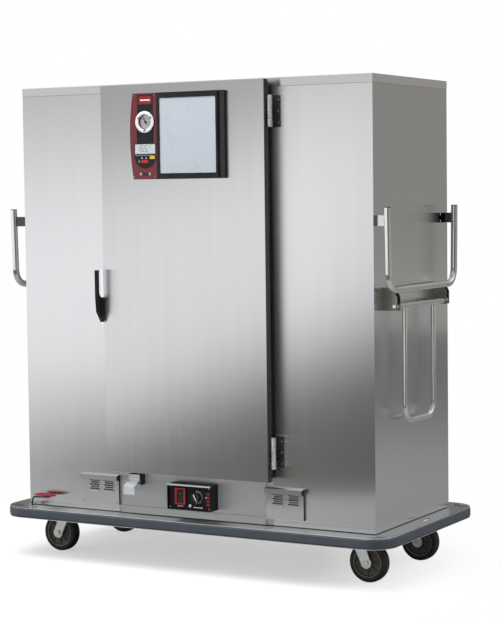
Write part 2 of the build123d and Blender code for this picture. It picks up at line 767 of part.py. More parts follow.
def latch_lever():
    """A paddle with a finger bar standing off the door, a curved throat and a pointed foot."""
    throat = 24.0
    outline = [
        (-441, 955), (-431, 955), (-434, 946), (-434, 848 + throat), (-434 + throat, 848),
        (-399, 848), (-399, 772), (-403.5, 752), (-405.5, 752), (-435, 794), (-440, 850),
    ]
    lever = profile_along_x(outline, LEVER_LEFT, LEVER_RIGHT)
    lever -= rod_x(throat, LEVER_LEFT, LEVER_RIGHT, -434 + throat, 848 + throat)
    lever -= block(-361.5, -355.5, -415, -398, 750, 777)
    return lever - rod_x(LEVER_PIN + RUNNING, LEVER_LEFT, LEVER_RIGHT, LEVER_PIVOT_Y, LEVER_PIVOT_Z)


def latch_plunger():
    """The push-off pin that the lever's foot drives towards the strike."""
    return rod_y(PLUNGER_RADIUS, DOOR_FACE - 4.6, -342, PLUNGER_X, PLUNGER_Z)


def latch_strike():
    plate = block(-382, -345, PANEL_FRONT - 3, PANEL_FRONT - 0.1, 735, 800)
    return fillet(plate.edges().filter_by(Axis.Y), 4)


# ---- Instruments on the door ----

BEZEL_RIGHT = -95.0
BEZEL_TOP = 1628.0
BEZEL_FOOT = 1302.0
BEZEL_EDGE = -201.0
BEZEL_BULGE = -215.0
BEZEL_DEPTH = 10.0
DIAL_X = -146.0
DIAL_Z = 1519.0
DIAL_RADIUS = 41.0
DIAL_INNER = 27.0
NEEDLE_PIN = 1.5
BOARD_LEFT = -94.5
BOARD_RIGHT = 206.0
BOARD_DEPTH = 12.0
BUTTONS_Y = DOOR_FACE - BEZEL_DEPTH
MODE_X = -115.0
MODE_Z = 1384.0
SET_X = -149.0
SET_Z = 1370.0


def instrument_bezel():
    """The moulded instrument panel, with wells for the dial, the display and the two buttons."""
    face = DOOR_FACE - BEZEL_DEPTH
    right = Line((BEZEL_RIGHT, face, BEZEL_FOOT), (BEZEL_RIGHT, face, BEZEL_TOP))
    top = Line(right @ 1, (BEZEL_EDGE, face, BEZEL_TOP))
    left = ThreePointArc(
        top @ 1, (BEZEL_BULGE, face, (BEZEL_TOP + BEZEL_FOOT) / 2), (BEZEL_EDGE, face, BEZEL_FOOT)
    )
    foot = Line(left @ 1, right @ 0)
    bezel = extrude(make_face([right, top, left, foot]), amount=BEZEL_DEPTH - 0.1, dir=(0, 1, 0))
    bezel -= rod_y(DIAL_INNER, face, face + 4, DIAL_X, DIAL_Z)
    bezel += rod_y(NEEDLE_PIN, face - 1, face + 4, DIAL_X, DIAL_Z)
    bezel -= block(-194, -101, face, face + 4, 1398, 1436)
    bezel -= block(MODE_X - 12, MODE_X + 12, face, face + 6, MODE_Z - 6, MODE_Z + 6)
    return bezel - block(SET_X - 15, SET_X + 15, face, face + 6, SET_Z - 7, SET_Z + 7)


def dial_ring():
    face = DOOR_FACE - BEZEL_DEPTH
    ring = rod_y(DIAL_RADIUS, face - 4, face - 0.1, DIAL_X, DIAL_Z)
    return ring - rod_y(DIAL_INNER + 0.5, face - 4, face - 0.1, DIAL_X, DIAL_Z)


def dial_needle():
    """A tapered pointer on a small hub, with a counterweight tail."""
    face = DOOR_FACE - BEZEL_DEPTH
    y0 = face + 0.5
    y1 = face + 2.0
    points = [
        (DIAL_X - 2.5, DIAL_Z - 8), (DIAL_X + 2.5, DIAL_Z - 8), (DIAL_X + 1.5, DIAL_Z),
        (DIAL_X + 0.6, DIAL_Z + 22), (DIAL_X - 0.6, DIAL_Z + 22), (DIAL_X - 1.5, DIAL_Z),
    ]
    needle = profile_along_y(points, y0, y1) + rod_y(4, y0 - 0.8, y1, DIAL_X, DIAL_Z)
    needle -= rod_y(NEEDLE_PIN + RUNNING, y0 - 1, y1, DIAL_X, DIAL_Z)
    return Pos(DIAL_X, 0, DIAL_Z) * Rot(0, -30, 0) * Pos(-DIAL_X, 0, -DIAL_Z) * needle


def display_window():
    face = DOOR_FACE - BEZEL_DEPTH
    return block(-193.7, -101.3, face - 0.6, face + 3.5, 1398.3, 1435.7)


def push_button(x, z, half_width, half_height):
    cap = block(
        x - half_width, x + half_width, BUTTONS_Y - 2, BUTTONS_Y + 3.5, z - half_height, z + half_height
    )
    return fillet(cap.edges().filter_by(Axis.Y), 1.5)


def menu_board_frame():
    """A moulded frame round the writing board, with a grooved rail down its right side."""
    face = DOOR_FACE - BOARD_DEPTH
    back = DOOR_FACE - 0.1
    frame = block(BOARD_LEFT, BOARD_RIGHT, face, back, BEZEL_FOOT, BEZEL_TOP)
    frame = fillet(frame.edges().filter_by(Axis.Y).sort_by(Axis.X)[-2:], 5)
    frame -= block(-81, 166, face, face + 4, 1323, 1608)
    return frame - block(175, 186, face, face + 6, BEZEL_FOOT, BEZEL_TOP)


def menu_board():
    face = DOOR_FACE - BOARD_DEPTH
    return block(-80.5, 165.5, face + 1.5, face + 3.8, 1323.5, 1607.5)


# ---- Handles ----


def push_handle(side):
    """A U of tube that hangs from two brackets, its grip bar low and its legs drawing in."""
    x = side * PUSH_X
    points = [
        (x, PUSH_FRONT_Y, PUSH_TOP), (x, PUSH_FRONT_Y + PUSH_TAPER, PUSH_GRIP),
        (x, PUSH_BACK_Y - PUSH_TAPER, PUSH_GRIP), (x, PUSH_BACK_Y, PUSH_TOP),
    ]
    return tube_along(points, PUSH_BEND, PUSH_TUBE_RADIUS, 1.6)


def push_handles():
    return group([push_handle(-1), push_handle(1)])


def push_handle_plugs():
    shapes = []
    for side in (-1, 1):
        for y in (PUSH_FRONT_Y, PUSH_BACK_Y):
            stem = rod_z(10.5, PUSH_TOP - 9, PUSH_TOP + 0.4, side * PUSH_X, y)
            shapes.append(stem + rod_z(PUSH_TUBE_RADIUS, PUSH_TOP + 0.4, PUSH_TOP + 2.4, side * PUSH_X, y))
    return group(shapes)


def push_handle_bracket(side, y, inward):
    """A bent strap: foot on the wall, web out to the tube, saddle against it."""
    height = 19.0
    z0 = PUSH_BRACKET_Z - height
    z1 = PUSH_BRACKET_Z + height
    wall = END - CAP_LAP + 0.1
    reach = PUSH_X - PUSH_TUBE_RADIUS + 2
    edge = y - inward
    a, b = sorted((edge, edge + inward * 28))
    strap = block(wall, wall + 3, a, b, z0, z1)
    a, b = sorted((edge, edge + inward * 3))
    strap += block(wall, reach, a, b, z0, z1)
    a, b = sorted((edge, edge + inward * 11))
    strap += block(reach - 8, reach, a, b, z0, z1)
    tilt = PUSH_TAPER / (PUSH_TOP - PUSH_GRIP) * (PUSH_TOP - PUSH_BRACKET_Z)
    strap -= rod_z(PUSH_TUBE_RADIUS + 0.6, z0, z1, PUSH_X, y + inward * tilt)
    return strap if side > 0 else mirror(strap, about=Plane.YZ)


def push_handle_brackets():
    shapes = []
    for side in (-1, 1):
        shapes.append(push_handle_bracket(side, PUSH_FRONT_Y, 1))
        shapes.append(push_handle_bracket(side, PUSH_BACK_Y, -1))
    return group(shapes)


def pull_handle_brackets():
    """Two channels on the end wall, each with a hole through both cheeks for the pivot tube."""
    wall = END - CAP_LAP + 0.1
    reach = PULL_X + 13
    z0 = PULL_Z - 14
    z1 = PULL_Z + 70
    shapes = []
    for y in PULL_BRACKETS:
        outer = block(wall, reach, y, y + PULL_BRACKET_WIDTH, z0, z1)
        outer -= block(wall + 3, reach, y + 3, y + PULL_BRACKET_WIDTH - 3, z0, z1)
        slope = profile_along_y(
            [(reach - 20, z1), (reach, z1), (reach, z1 - 34)], y, y + PULL_BRACKET_WIDTH
        )
        outer -= slope
        hole = rod_y(PULL_PIVOT_RADIUS + 0.08, y, y + PULL_BRACKET_WIDTH, PULL_X, PULL_Z)
        shapes.append(outer - hole)
    return group(shapes)


def pull_handle():
    """The pivot tube with the towing loop welded to it."""
    ends = (PULL_BRACKETS[0] - 5, PULL_BRACKETS[1] + PULL_BRACKET_WIDTH + 5)
    points = [
        (PULL_X, PULL_FRONT_LEG_Y, PULL_Z), (PULL_X, PULL_FRONT_LEG_Y, PULL_GRIP),
        (PULL_X, PULL_BACK_LEG_Y, PULL_GRIP), (PULL_X, PULL_BACK_LEG_Y, PULL_Z),
    ]
    loop = solid_bar_along(points, PULL_BEND, PULL_TUBE_RADIUS)
    return loop + rod_y(PULL_PIVOT_RADIUS, ends[0], ends[1], PULL_X, PULL_Z)


# ---- Brake pedal ----

PEDAL_TOP = 46.0
DECK_UNDER_BODY = DECK_TOP - BODY_FOOT_Z


def brake_pedal():
    """Two bent rods from a cross shaft, joined under the pad."""
    shaft_z = DECK_UNDER_BODY + PEDAL_SHAFT_LIFT
    pedal = rod_y(PEDAL_ROD, PEDAL_Y - 19, PEDAL_Y + 19, PEDAL_X, shaft_z)
    for y in (PEDAL_Y - 9, PEDAL_Y + 9):
        points = [
            (PEDAL_X, y, shaft_z), (PEDAL_X + 10, y, PEDAL_TOP - 7), (PEDAL_X + 92, y, PEDAL_TOP - 3),
        ]
        pedal += solid_bar_along(points, 8.0, PEDAL_ROD)
    return pedal


def brake_pad():
    z0 = PEDAL_TOP + 0.1
    pad = Pos(PEDAL_X + 62, PEDAL_Y, z0) * extrude(SlotOverall(94, 32), 7)
    pad = fillet(pad.faces().sort_by(Axis.Z)[-1].edges(), 3)
    return pad


def main():
    os.makedirs("parts", exist_ok=True)
    save_deck("deck_pan", deck_pan())
    save_deck("deck_crossmembers", deck_crossmembers())
    save_deck("bumper_channel", bumper_channel())
    save_deck("bumper", bumper())
    save_deck("caster_plates", caster_plates())
    for name, (side, end) in zip(CORNER_NAMES, CORNERS):
        save_deck(f"caster_fork_{name}", caster_fork(side, end))
        save_deck(f"wheel_{name}", wheel(side, end))
    save_body("body_wrap", body_wrap())
    save_body("top_cap", top_cap())
    save_body("front_panel_left", front_panel(-END + CAP_LAP, DOOR_LEFT + 14))
    save_body("front_panel_right", front_panel(DOOR_RIGHT - 14, END - CAP_LAP))
    save_body("door_frame", door_frame())
    save_body("apron_panel", apron_panel())
    save_body("inner_liner", inner_liner())
    save_body("body_insulation", body_insulation())
    save_body("rack_uprights", rack_uprights())
    save_body("wire_shelves", wire_shelves())
    save_body("fan_motor", fan_motor())
    save_body("fan_wheel", fan_wheel())
    save_body("heater_element", heater_element())
    save_body("thermostat_probe", thermostat_probe())
    save_body("power_inlet", power_inlet())
    save_body("control_housing", control_housing())
    save_body("control_face", control_face())
    save_body("power_switch", power_switch())
    save_body("thermostat_knob", thermostat_knob())
    save_body("vent_covers", vent_covers())
    save_body("transport_latch_bracket", transport_latch_bracket())
    save_body("transport_latch", transport_latch())
    save_body("door_skin", door_skin())
    save_body("door_liner", door_liner())
    save_body("door_insulation", door_insulation())
    save_body("door_gasket", door_gasket())
    save_body("hinge_frame_leaves", hinge_frame_leaves())
    save_body("hinge_door_leaves", hinge_door_leaves())
    save_body("latch_base", latch_base())
    save_body("latch_lever", latch_lever())
    save_body("latch_plunger", latch_plunger())
    save_body("latch_strike", latch_strike())
    save_body("instrument_bezel", instrument_bezel())
    save_body("dial_ring", dial_ring())
    save_body("dial_needle", dial_needle())
    save_body("display_window", display_window())
    save_body("mode_button", push_button(MODE_X, MODE_Z, 11, 5.5))
    save_body("set_button", push_button(SET_X, SET_Z, 14.4, 6.5))
    save_body("menu_board_frame", menu_board_frame())
    save_body("menu_board", menu_board())
    save_body("push_handles", push_handles())
    save_body("push_handle_plugs", push_handle_plugs())
    save_body("push_handle_brackets", push_handle_brackets())
    save_body("pull_handle_brackets", pull_handle_brackets())
    save_body("pull_handle", pull_handle())
    save_body("brake_pedal", brake_pedal())
    save_body("brake_pad", brake_pad())


if __name__ == "__main__":
    main()
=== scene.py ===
import json
import math

import bmesh
import bpy
from mathutils import Matrix, Vector


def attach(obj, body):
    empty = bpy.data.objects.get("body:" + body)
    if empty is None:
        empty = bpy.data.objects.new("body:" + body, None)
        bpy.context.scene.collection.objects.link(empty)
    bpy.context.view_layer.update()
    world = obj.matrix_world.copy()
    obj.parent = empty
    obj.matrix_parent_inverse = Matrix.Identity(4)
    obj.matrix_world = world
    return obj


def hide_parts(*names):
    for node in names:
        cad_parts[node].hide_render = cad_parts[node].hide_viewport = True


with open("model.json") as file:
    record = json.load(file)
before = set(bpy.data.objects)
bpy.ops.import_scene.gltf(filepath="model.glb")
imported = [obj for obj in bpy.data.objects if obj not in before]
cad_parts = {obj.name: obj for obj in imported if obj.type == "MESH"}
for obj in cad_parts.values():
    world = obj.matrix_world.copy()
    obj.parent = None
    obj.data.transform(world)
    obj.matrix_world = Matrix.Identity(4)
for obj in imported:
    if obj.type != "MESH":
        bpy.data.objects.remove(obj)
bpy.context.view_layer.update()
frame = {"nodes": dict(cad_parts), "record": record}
NODES = frame["nodes"]
SLOT_OF = {s["node"]: s["material_slot"] for s in frame["record"]["subparts"]}

# The body parts are laid out in millimetres about the foot of the body, the deck about its own middle.
BODY_Y = 2.75
BODY_Z = 202.0
DECK_Y = 7.25
MM = 0.001


def body_point(x, y, z):
    """A point of the body, in metres in the row frame."""
    return Vector((x * MM, (y + BODY_Y) * MM, (z + BODY_Z) * MM))


def deck_point(x, y, z):
    """A point of the deck, in metres in the row frame."""
    return Vector((x * MM, (y + DECK_Y) * MM, z * MM))


# ---------------------------------------------------------------- materials


def new_material(name):
    mat = bpy.data.materials.new(name)
    mat.use_nodes = True
    tree = mat.node_tree
    return mat, tree, tree.nodes["Principled BSDF"]


def add(tree, kind, **values):
    node = tree.nodes.new(kind)
    for key, value in values.items():
        setattr(node, key, value)
    return node


def noise(tree, coords, scale, detail=3.0, rough=0.5):
    """A noise texture whose space is stretched by scale, a number for each axis."""
    mapping = add(tree, "ShaderNodeMapping")
    mapping.inputs["Scale"].default_value = scale
    tree.links.new(coords, mapping.inputs["Vector"])
    tex = add(tree, "ShaderNodeTexNoise")
    tex.inputs["Scale"].default_value = 1.0
    tex.inputs["Detail"].default_value = detail
    tex.inputs["Roughness"].default_value = rough
    tree.links.new(mapping.outputs["Vector"], tex.inputs["Vector"])
    return tex.outputs["Fac"]


def remap(tree, value, low, high, out_low, out_high):
    node = add(tree, "ShaderNodeMapRange")
    node.inputs["From Min"].default_value = low
    node.inputs["From Max"].default_value = high
    node.inputs["To Min"].default_value = out_low
    node.inputs["To Max"].default_value = out_high
    tree.links.new(value, node.inputs["Value"])
    return node.outputs["Result"]


def ramp(tree, value, stops):
    node = add(tree, "ShaderNodeValToRGB")
    elements = node.color_ramp.elements
    while len(elements) < len(stops):
        elements.new(0.5)
    for element, (place, colour) in zip(elements, stops):
        element.position = place
        element.color = (*colour, 1.0)
    tree.links.new(value, node.inputs["Fac"])
    return node.outputs["Color"]


def bump(tree, shader, height, strength, distance):
    node = add(tree, "ShaderNodeBump")
    node.inputs["Strength"].default_value = strength
    node.inputs["Distance"].default_value = distance
    tree.links.new(height, node.inputs["Height"])
    tree.links.new(node.outputs["Normal"], shader.inputs["Normal"])


def object_coords(tree):
    return add(tree, "ShaderNodeTexCoord").outputs["Object"]


TWIST = 0.0278
BOW = 0.022


def paint_dark_reflection_beyond(tree, coords, shade, axis, start, end, amount):
    """Darkens a colour past a plane of the piece, standing for a dark reflection there."""
    split = add(tree, "ShaderNodeSeparateXYZ")
    tree.links.new(coords, split.inputs[0])
    level = remap(tree, split.outputs[axis], start, end, 1.0, amount)
    scaled = add(tree, "ShaderNodeVectorMath", operation="SCALE")
    tree.links.new(shade, scaled.inputs[0])
    tree.links.new(level, scaled.inputs["Scale"])
    return scaled.outputs[0]


def brushed(name, tone, grain, rough=(0.18, 0.215), spread=0.03, anisotropy=0.99, streak=0.02,
            twist=False, bow=False, level=False, edge=None):
    """Brushed sheet. grain is the axis the brush ran along, 0, 1 or 2.

    A front sheet is faintly out of flat: twist, bow and level tilt its normal.
    """
    mat, tree, shader = new_material(name)
    coords = object_coords(tree)
    fine = [420.0, 420.0, 420.0]
    fine[grain] = 2.6
    broad = [26.0, 26.0, 26.0]
    broad[grain] = 1.1
    lines = noise(tree, coords, fine, 5.0, 0.62)
    bands = noise(tree, coords, broad, 2.0)
    mixed = add(tree, "ShaderNodeMath", operation="ADD")
    tree.links.new(remap(tree, lines, 0.3, 0.7, -spread, spread), mixed.inputs[0])
    tree.links.new(remap(tree, bands, 0.3, 0.7, -spread / 2, spread / 2), mixed.inputs[1])
    low = [max(c - 0.04, 0.0) for c in tone]
    high = [min(c + 0.04, 1.0) for c in tone]
    shade = ramp(tree, remap(tree, mixed.outputs[0], -0.08, 0.08, 0.0, 1.0), [(0.0, low), (1.0, high)])
    # Where edge is given, the colour past a plane is darkened: a painted dark reflection.
    if edge is not None:
        shade = paint_dark_reflection_beyond(tree, coords, shade, *edge)
    tree.links.new(shade, shader.inputs["Base Color"])
    shader.inputs["Metallic"].default_value = 1.0
    tree.links.new(remap(tree, lines, 0.3, 0.7, *rough), shader.inputs["Roughness"])
    shader.inputs["Anisotropic"].default_value = anisotropy
    along = add(tree, "ShaderNodeCombineXYZ")
    for axis in range(3):
        along.inputs[axis].default_value = 1.0 if axis == grain else 0.03 + 0.01 * axis
    normal = add(tree, "ShaderNodeNewGeometry").outputs["Normal"]
    across = add(tree, "ShaderNodeVectorMath", operation="CROSS_PRODUCT")
    tree.links.new(normal, across.inputs[0])
    tree.links.new(along.outputs[0], across.inputs[1])
    tree.links.new(across.outputs["Vector"], shader.inputs["Tangent"])
    bump(tree, shader, lines, streak, 0.0002)
    if twist:
        split = add(tree, "ShaderNodeSeparateXYZ")
        tree.links.new(coords, split.inputs[0])
        tilt = remap(tree, split.outputs["X"], -1.0, 1.0, TWIST, -TWIST)
        if bow:
            rise = add(tree, "ShaderNodeMath", operation="ADD")
            tree.links.new(tilt, rise.inputs[0])
            tree.links.new(remap(tree, split.outputs["Z"], 1.35, 1.87, 0.0, BOW), rise.inputs[1])
            tilt = rise.outputs[0]
        if level:
            share = add(tree, "ShaderNodeMath", operation="MULTIPLY")
            tree.links.new(tilt, share.inputs[0])
            tree.links.new(remap(tree, split.outputs["Z"], 0.1, 0.7, 1.0, 0.25), share.inputs[1])
            tilt = share.outputs[0]
        lift = add(tree, "ShaderNodeCombineXYZ")
        tree.links.new(tilt, lift.inputs["Z"])
        lean = add(tree, "ShaderNodeVectorMath", operation="ADD")
        tree.links.new(normal, lean.inputs[0])
        tree.links.new(lift.outputs[0], lean.inputs[1])
        even = add(tree, "ShaderNodeVectorMath", operation="NORMALIZE")
        tree.links.new(lean.outputs["Vector"], even.inputs[0])
        bumped = shader.inputs["Normal"].links[0].from_node
        tree.links.new(even.outputs["Vector"], bumped.inputs["Normal"])
    return mat


def polished(name, tone, rough=0.12, cloud=0.04, scale=60.0, metal=1.0, edges=()):
    """Plated or polished metal, with faint clouding and handling marks."""
    mat, tree, shader = new_material(name)
    coords = object_coords(tree)
    clouds = noise(tree, coords, (scale, scale, scale), 4.0, 0.6)
    low = [c * (1.0 - cloud) for c in tone]
    high = [min(c * (1.0 + cloud), 1.0) for c in tone]
    shade = ramp(tree, clouds, [(0.3, low), (0.7, high)])
    # Each of edges darkens the colour past a plane: a painted dark reflection.
    for edge in edges:
        shade = paint_dark_reflection_beyond(tree, coords, shade, *edge)
    tree.links.new(shade, shader.inputs["Base Color"])
    tree.links.new(remap(tree, clouds, 0.3, 0.7, rough * 0.8, rough * 1.35), shader.inputs["Roughness"])
    shader.inputs["Metallic"].default_value = metal
    return mat


def moulded(name, tone, rough=0.35, grain=900.0, depth=0.08, wear=0.12, gloss=0.5):
    """Moulded plastic, rubber or paint, with a fine skin and uneven wear."""
    mat, tree, shader = new_material(name)
    coords = object_coords(tree)
    patches = noise(tree, coords, (14.0, 14.0, 14.0), 5.0, 0.65)
    skin = noise(tree, coords, (grain, grain, grain), 2.0)
    worn = [c + (1.0 - c) * wear * 0.12 for c in tone]
    dark = [c * (1.0 - wear) for c in tone]
    shade = ramp(tree, patches, [(0.3, dark), (0.55, tone), (0.78, worn)])
    tree.links.new(shade, shader.inputs["Base Color"])
    tree.links.new(remap(tree, patches, 0.3, 0.75, rough * 0.85, rough * 1.2), shader.inputs["Roughness"])
    shader.inputs["Specular IOR Level"].default_value = gloss
    bump(tree, shader, skin, depth, 0.0003)
    return mat


def striped(name, tone, dark, pitch):
    """Gloss moulding with fine upright flutes, pitch in millimetres along X; the colour is darker in the
    flutes' hollows, a painted shade.
    """
    mat, tree, shader = new_material(name)
    coords = object_coords(tree)
    split = add(tree, "ShaderNodeSeparateXYZ")
    tree.links.new(coords, split.inputs[0])
    phase = add(tree, "ShaderNodeMath", operation="MULTIPLY")
    phase.inputs[1].default_value = 2 * math.pi / (pitch * MM)
    tree.links.new(split.outputs["X"], phase.inputs[0])
    wave = add(tree, "ShaderNodeMath", operation="SINE")
    tree.links.new(phase.outputs[0], wave.inputs[0])
    level = remap(tree, wave.outputs[0], -1.0, 1.0, 0.0, 1.0)
    tree.links.new(ramp(tree, level, [(0.25, dark), (0.75, tone)]), shader.inputs["Base Color"])
    patches = noise(tree, coords, (14.0, 14.0, 14.0), 5.0, 0.65)
    tree.links.new(remap(tree, patches, 0.3, 0.75, 0.2, 0.3), shader.inputs["Roughness"])
    shader.inputs["Coat Weight"].default_value = 0.4
    shader.inputs["Coat Roughness"].default_value = 0.06
    bump(tree, shader, level, 0.3, 0.0004)
    return mat


def fibre(name, tone):
    mat, tree, shader = new_material(name)
    coords = object_coords(tree)
    strands = noise(tree, coords, (120.0, 120.0, 260.0), 8.0, 0.7)
    low = [c * 0.6 for c in tone]
    tree.links.new(ramp(tree, strands, [(0.3, low), (0.7, tone)]), shader.inputs["Base Color"])
    shader.inputs["Roughness"].default_value = 0.95
    bump(tree, shader, strands, 0.6, 0.002)
    return mat


MATERIALS = {
    "stainless": brushed("stainless_brushed", (0.745, 0.745, 0.745), 2),
    "stainless_inner": brushed("stainless_satin", (0.66, 0.67, 0.68), 2, rough=(0.28, 0.36)),
    "stainless_tube": polished("stainless_polished", (0.82, 0.815, 0.80), rough=0.11, cloud=0.02),
    "deck_sheet": brushed("deck_satin", (0.72, 0.735, 0.75), 0, rough=(0.3, 0.4), anisotropy=0.4),
    "bright_trim": brushed("trim_extruded", (0.84, 0.86, 0.88), 0, rough=(0.22, 0.32), anisotropy=0.3),
    "bumper_grey": moulded("bumper_vinyl", (0.056, 0.068, 0.084), rough=0.42, grain=500.0, wear=0.1),
    "dark_steel": moulded("steel_painted_dark", (0.014, 0.014, 0.015), rough=0.45, grain=300.0, gloss=0.3),
    "black_steel": moulded("steel_painted_black", (0.012, 0.012, 0.013), rough=0.35),
    "zinc": polished("zinc_plate", (0.80, 0.81, 0.82), rough=0.26, cloud=0.1, scale=40.0),
    "insulation": fibre("glass_fibre", (0.80, 0.72, 0.38)),
    "shelf_wire": polished("wire_plated", (0.76, 0.77, 0.79), rough=0.16),
    "fan_aluminium": polished("aluminium_pressed", (0.72, 0.73, 0.74), rough=0.3, cloud=0.08),
    "heater_sheath": moulded("heater_scale", (0.09, 0.075, 0.065), rough=0.55, grain=700.0, wear=0.3),
    "black_plastic": moulded("plastic_black", (0.006, 0.006, 0.0065), rough=0.45, gloss=0.2),
    "switch_black": moulded("switch_gloss", (0.012, 0.012, 0.012), rough=0.22),
    "knob_black": moulded("knob_satin", (0.014, 0.014, 0.015), rough=0.3),
    "chrome": polished("chrome_bright", (0.84, 0.85, 0.87), rough=0.07, cloud=0.02),
    # The liner inside the door's edge is near black, a painted shade in the gap round the door.
    "dark_liner": moulded("door_edge_painted_shade", (0.035, 0.035, 0.038), rough=0.5),
    "gasket_rubber": moulded("gasket_silicone", (0.02, 0.02, 0.02), rough=0.6, grain=600.0, depth=0.2),
    "hinge_steel": polished("hinge_dull", (0.42, 0.42, 0.43), rough=0.3, cloud=0.12),
    "lever_black": moulded("lever_gloss", (0.008, 0.009, 0.011), rough=0.3, depth=0.03, gloss=0.25),
    "bezel_red": striped("bezel_red_fluted", (0.20, 0.010, 0.020), (0.075, 0.005, 0.009), 5.4),
    "needle_dark": moulded("needle_paint", (0.02, 0.02, 0.022), rough=0.4),
    "display_glass": moulded("display_pale", (0.55, 0.60, 0.59), rough=0.16, depth=0.01),
    "button_yellow": moulded("button_amber", (0.78, 0.48, 0.03), rough=0.3, depth=0.03),
    "button_red": moulded("button_red_cap", (0.5, 0.02, 0.02), rough=0.3, depth=0.03),
    "frame_black": moulded("frame_gloss", (0.012, 0.013, 0.015), rough=0.3, depth=0.02, gloss=0.3),
    "board_white": moulded("board_surface", (0.52, 0.56, 0.62), rough=0.3, depth=0.01, wear=0.03, gloss=0.25),
    "pad_red": moulded("pad_red_rubber", (0.33, 0.012, 0.035), rough=0.45, grain=500.0),
    "tread_black": moulded("tread_rubber", (0.022, 0.022, 0.024), rough=0.6, grain=450.0, depth=0.25),
}
TOP_SHEET = brushed("stainless_top", (0.84, 0.84, 0.84), 0)
# Right front panel: its colour darkens towards the panel's right end, a painted dark reflection.
RIGHT_SHEET = brushed("stainless_right", (0.75, 0.755, 0.76), 2, twist=True,
                      edge=("X", 0.42, 0.82, 0.88))
LEFT_SHEET = brushed("stainless_left", (0.76, 0.765, 0.775), 2, twist=True, level=True)
# Door skin: its right return is painted much darker than the face, a painted dark reflection.
DOOR_SHEET = brushed("stainless_door", (0.675, 0.68, 0.685), 2, twist=True, bow=True,
                     edge=("X", 0.3636, 0.3644, 0.22))
SATIN_SHEET = brushed("stainless_apron", (0.76, 0.77, 0.78), 2, rough=(0.42, 0.5))
HINGE_BRIGHT = polished("hinge_bright", (0.82, 0.83, 0.84), rough=0.24, cloud=0.04, metal=0.7)
# Frame leaves: the plate against the panel is painted dark, a painted dark reflection; the knuckles stay
# bright.
HINGE_LEAF = polished("hinge_leaf", (0.82, 0.83, 0.84), rough=0.24, cloud=0.04, metal=0.7,
                      edges=[("Y", -0.356, -0.350, 0.12)])
# Push handle brackets: the back ones, the left end's ones and the root of the right front one are painted
# dark, a painted dark reflection.
PUSH_BRACKET = polished("push_bracket", (0.85, 0.86, 0.87), rough=0.25, cloud=0.05, metal=0.7,
                        edges=[("Y", -0.01, 0.01, 0.10), ("X", 0.794, 0.790, 0.10)])
PULL_BRACKET = polished("pull_bracket", (0.36, 0.35, 0.33), rough=0.3, cloud=0.08)
LATCH_BRIGHT = polished("latch_bright", (0.86, 0.89, 0.92), rough=0.16, cloud=0.03, metal=0.6)
LENS_PALE = moulded("lens_pale", (0.62, 0.62, 0.62), rough=0.2, depth=0.02)
HUB_GREY = moulded("hub_grey", (0.115, 0.10, 0.078), rough=0.5, grain=500.0)
RING_LIGHT = moulded("ring_light", (0.26, 0.245, 0.21), rough=0.4)
PRINT_WHITE = moulded("print_white", (0.82, 0.83, 0.83), rough=0.4, wear=0.05)
PRINT_RED = moulded("print_red", (0.27, 0.008, 0.012), rough=0.35, wear=0.05)
PRINT_GREEN = moulded("print_green", (0.16, 0.30, 0.24), rough=0.35, wear=0.05)
PRINT_STEEL = moulded("print_steel_blue", (0.20, 0.26, 0.31), rough=0.35, wear=0.05)
DIGIT_GREY = moulded("digit_grey", (0.05, 0.06, 0.07), rough=0.3, wear=0.05)
DIAL_SILVER = polished("dial_silver", (0.72, 0.72, 0.73), rough=0.34, cloud=0.1, scale=90.0)
# Near black, a painted shade for slots, openings and dark ends.
PAINTED_SHADE = moulded("painted_shade_dark", (0.02, 0.02, 0.022), rough=0.7)

# ---------------------------------------------------------------- mesh helpers


def finish_piece(obj, material, body, smooth_angle=None, bevel=None, segments=2):
    """Gives a new piece its material and its place in the moving frame."""
    obj.data.materials.clear()
    obj.data.materials.append(material)
    if smooth_angle is not None:
        obj.data.shade_smooth()
        obj.data.set_sharp_from_angle(angle=math.radians(smooth_angle))
    if bevel:
        mod = obj.modifiers.new("edges", "BEVEL")
        mod.width = bevel * MM
        mod.segments = segments
        mod.limit_method = "ANGLE"
        mod.angle_limit = math.radians(35)
        mod.harden_normals = False
    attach(obj, body)
    return obj


def object_from(name, bm):
    bmesh.ops.recalc_face_normals(bm, faces=bm.faces[:])
    mesh = bpy.data.meshes.new(name)
    bm.to_mesh(mesh)
    bm.free()
    obj = bpy.data.objects.new(name, mesh)
    bpy.context.scene.collection.objects.link(obj)
    return obj


def facing(point, axis):
    """A matrix whose Z runs along axis, from point."""
    return Matrix.Translation(point) @ Vector(axis).to_track_quat("Z", "Y").to_matrix().to_4x4()


def lathe_into(bm, profile, matrix, steps=48, closed=True):
    """Turns (radius, height) pairs in millimetres about the matrix's Z."""
    rings = []
    for radius, height in profile:
        ring = []
        for i in range(steps):
            turn = 2 * math.pi * i / steps
            local = Vector((radius * MM * math.cos(turn), radius * MM * math.sin(turn), height * MM))
            ring.append(bm.verts.new(matrix @ local))
        rings.append(ring)
    pairs = list(zip(rings[:-1], rings[1:]))
    if closed:
        pairs.append((rings[-1], rings[0]))
    for low, high in pairs:
        for i in range(steps):
            j = (i + 1) % steps
            bm.faces.new((low[i], low[j], high[j], high[i]))
    if not closed:
        bm.faces.new(rings[0][::-1])
        bm.faces.new(rings[-1])


def lathe(name, profile, matrix, material, body, steps=48, closed=True):
    bm = bmesh.new()
    lathe_into(bm, profile, matrix, steps, closed)
    return finish_piece(object_from(name, bm), material, body, smooth_angle=32)


def block_into(bm, low, high, matrix=Matrix()):
    """A box between two corners, in metres."""
    made = bmesh.ops.create_cube(bm, size=1.0)["verts"]
    middle = (low + high) / 2
    size = high - low
    for vert in made:
        vert.co = matrix @ (middle + Vector((vert.co.x * size.x, vert.co.y * size.y, vert.co.z * size.z)))


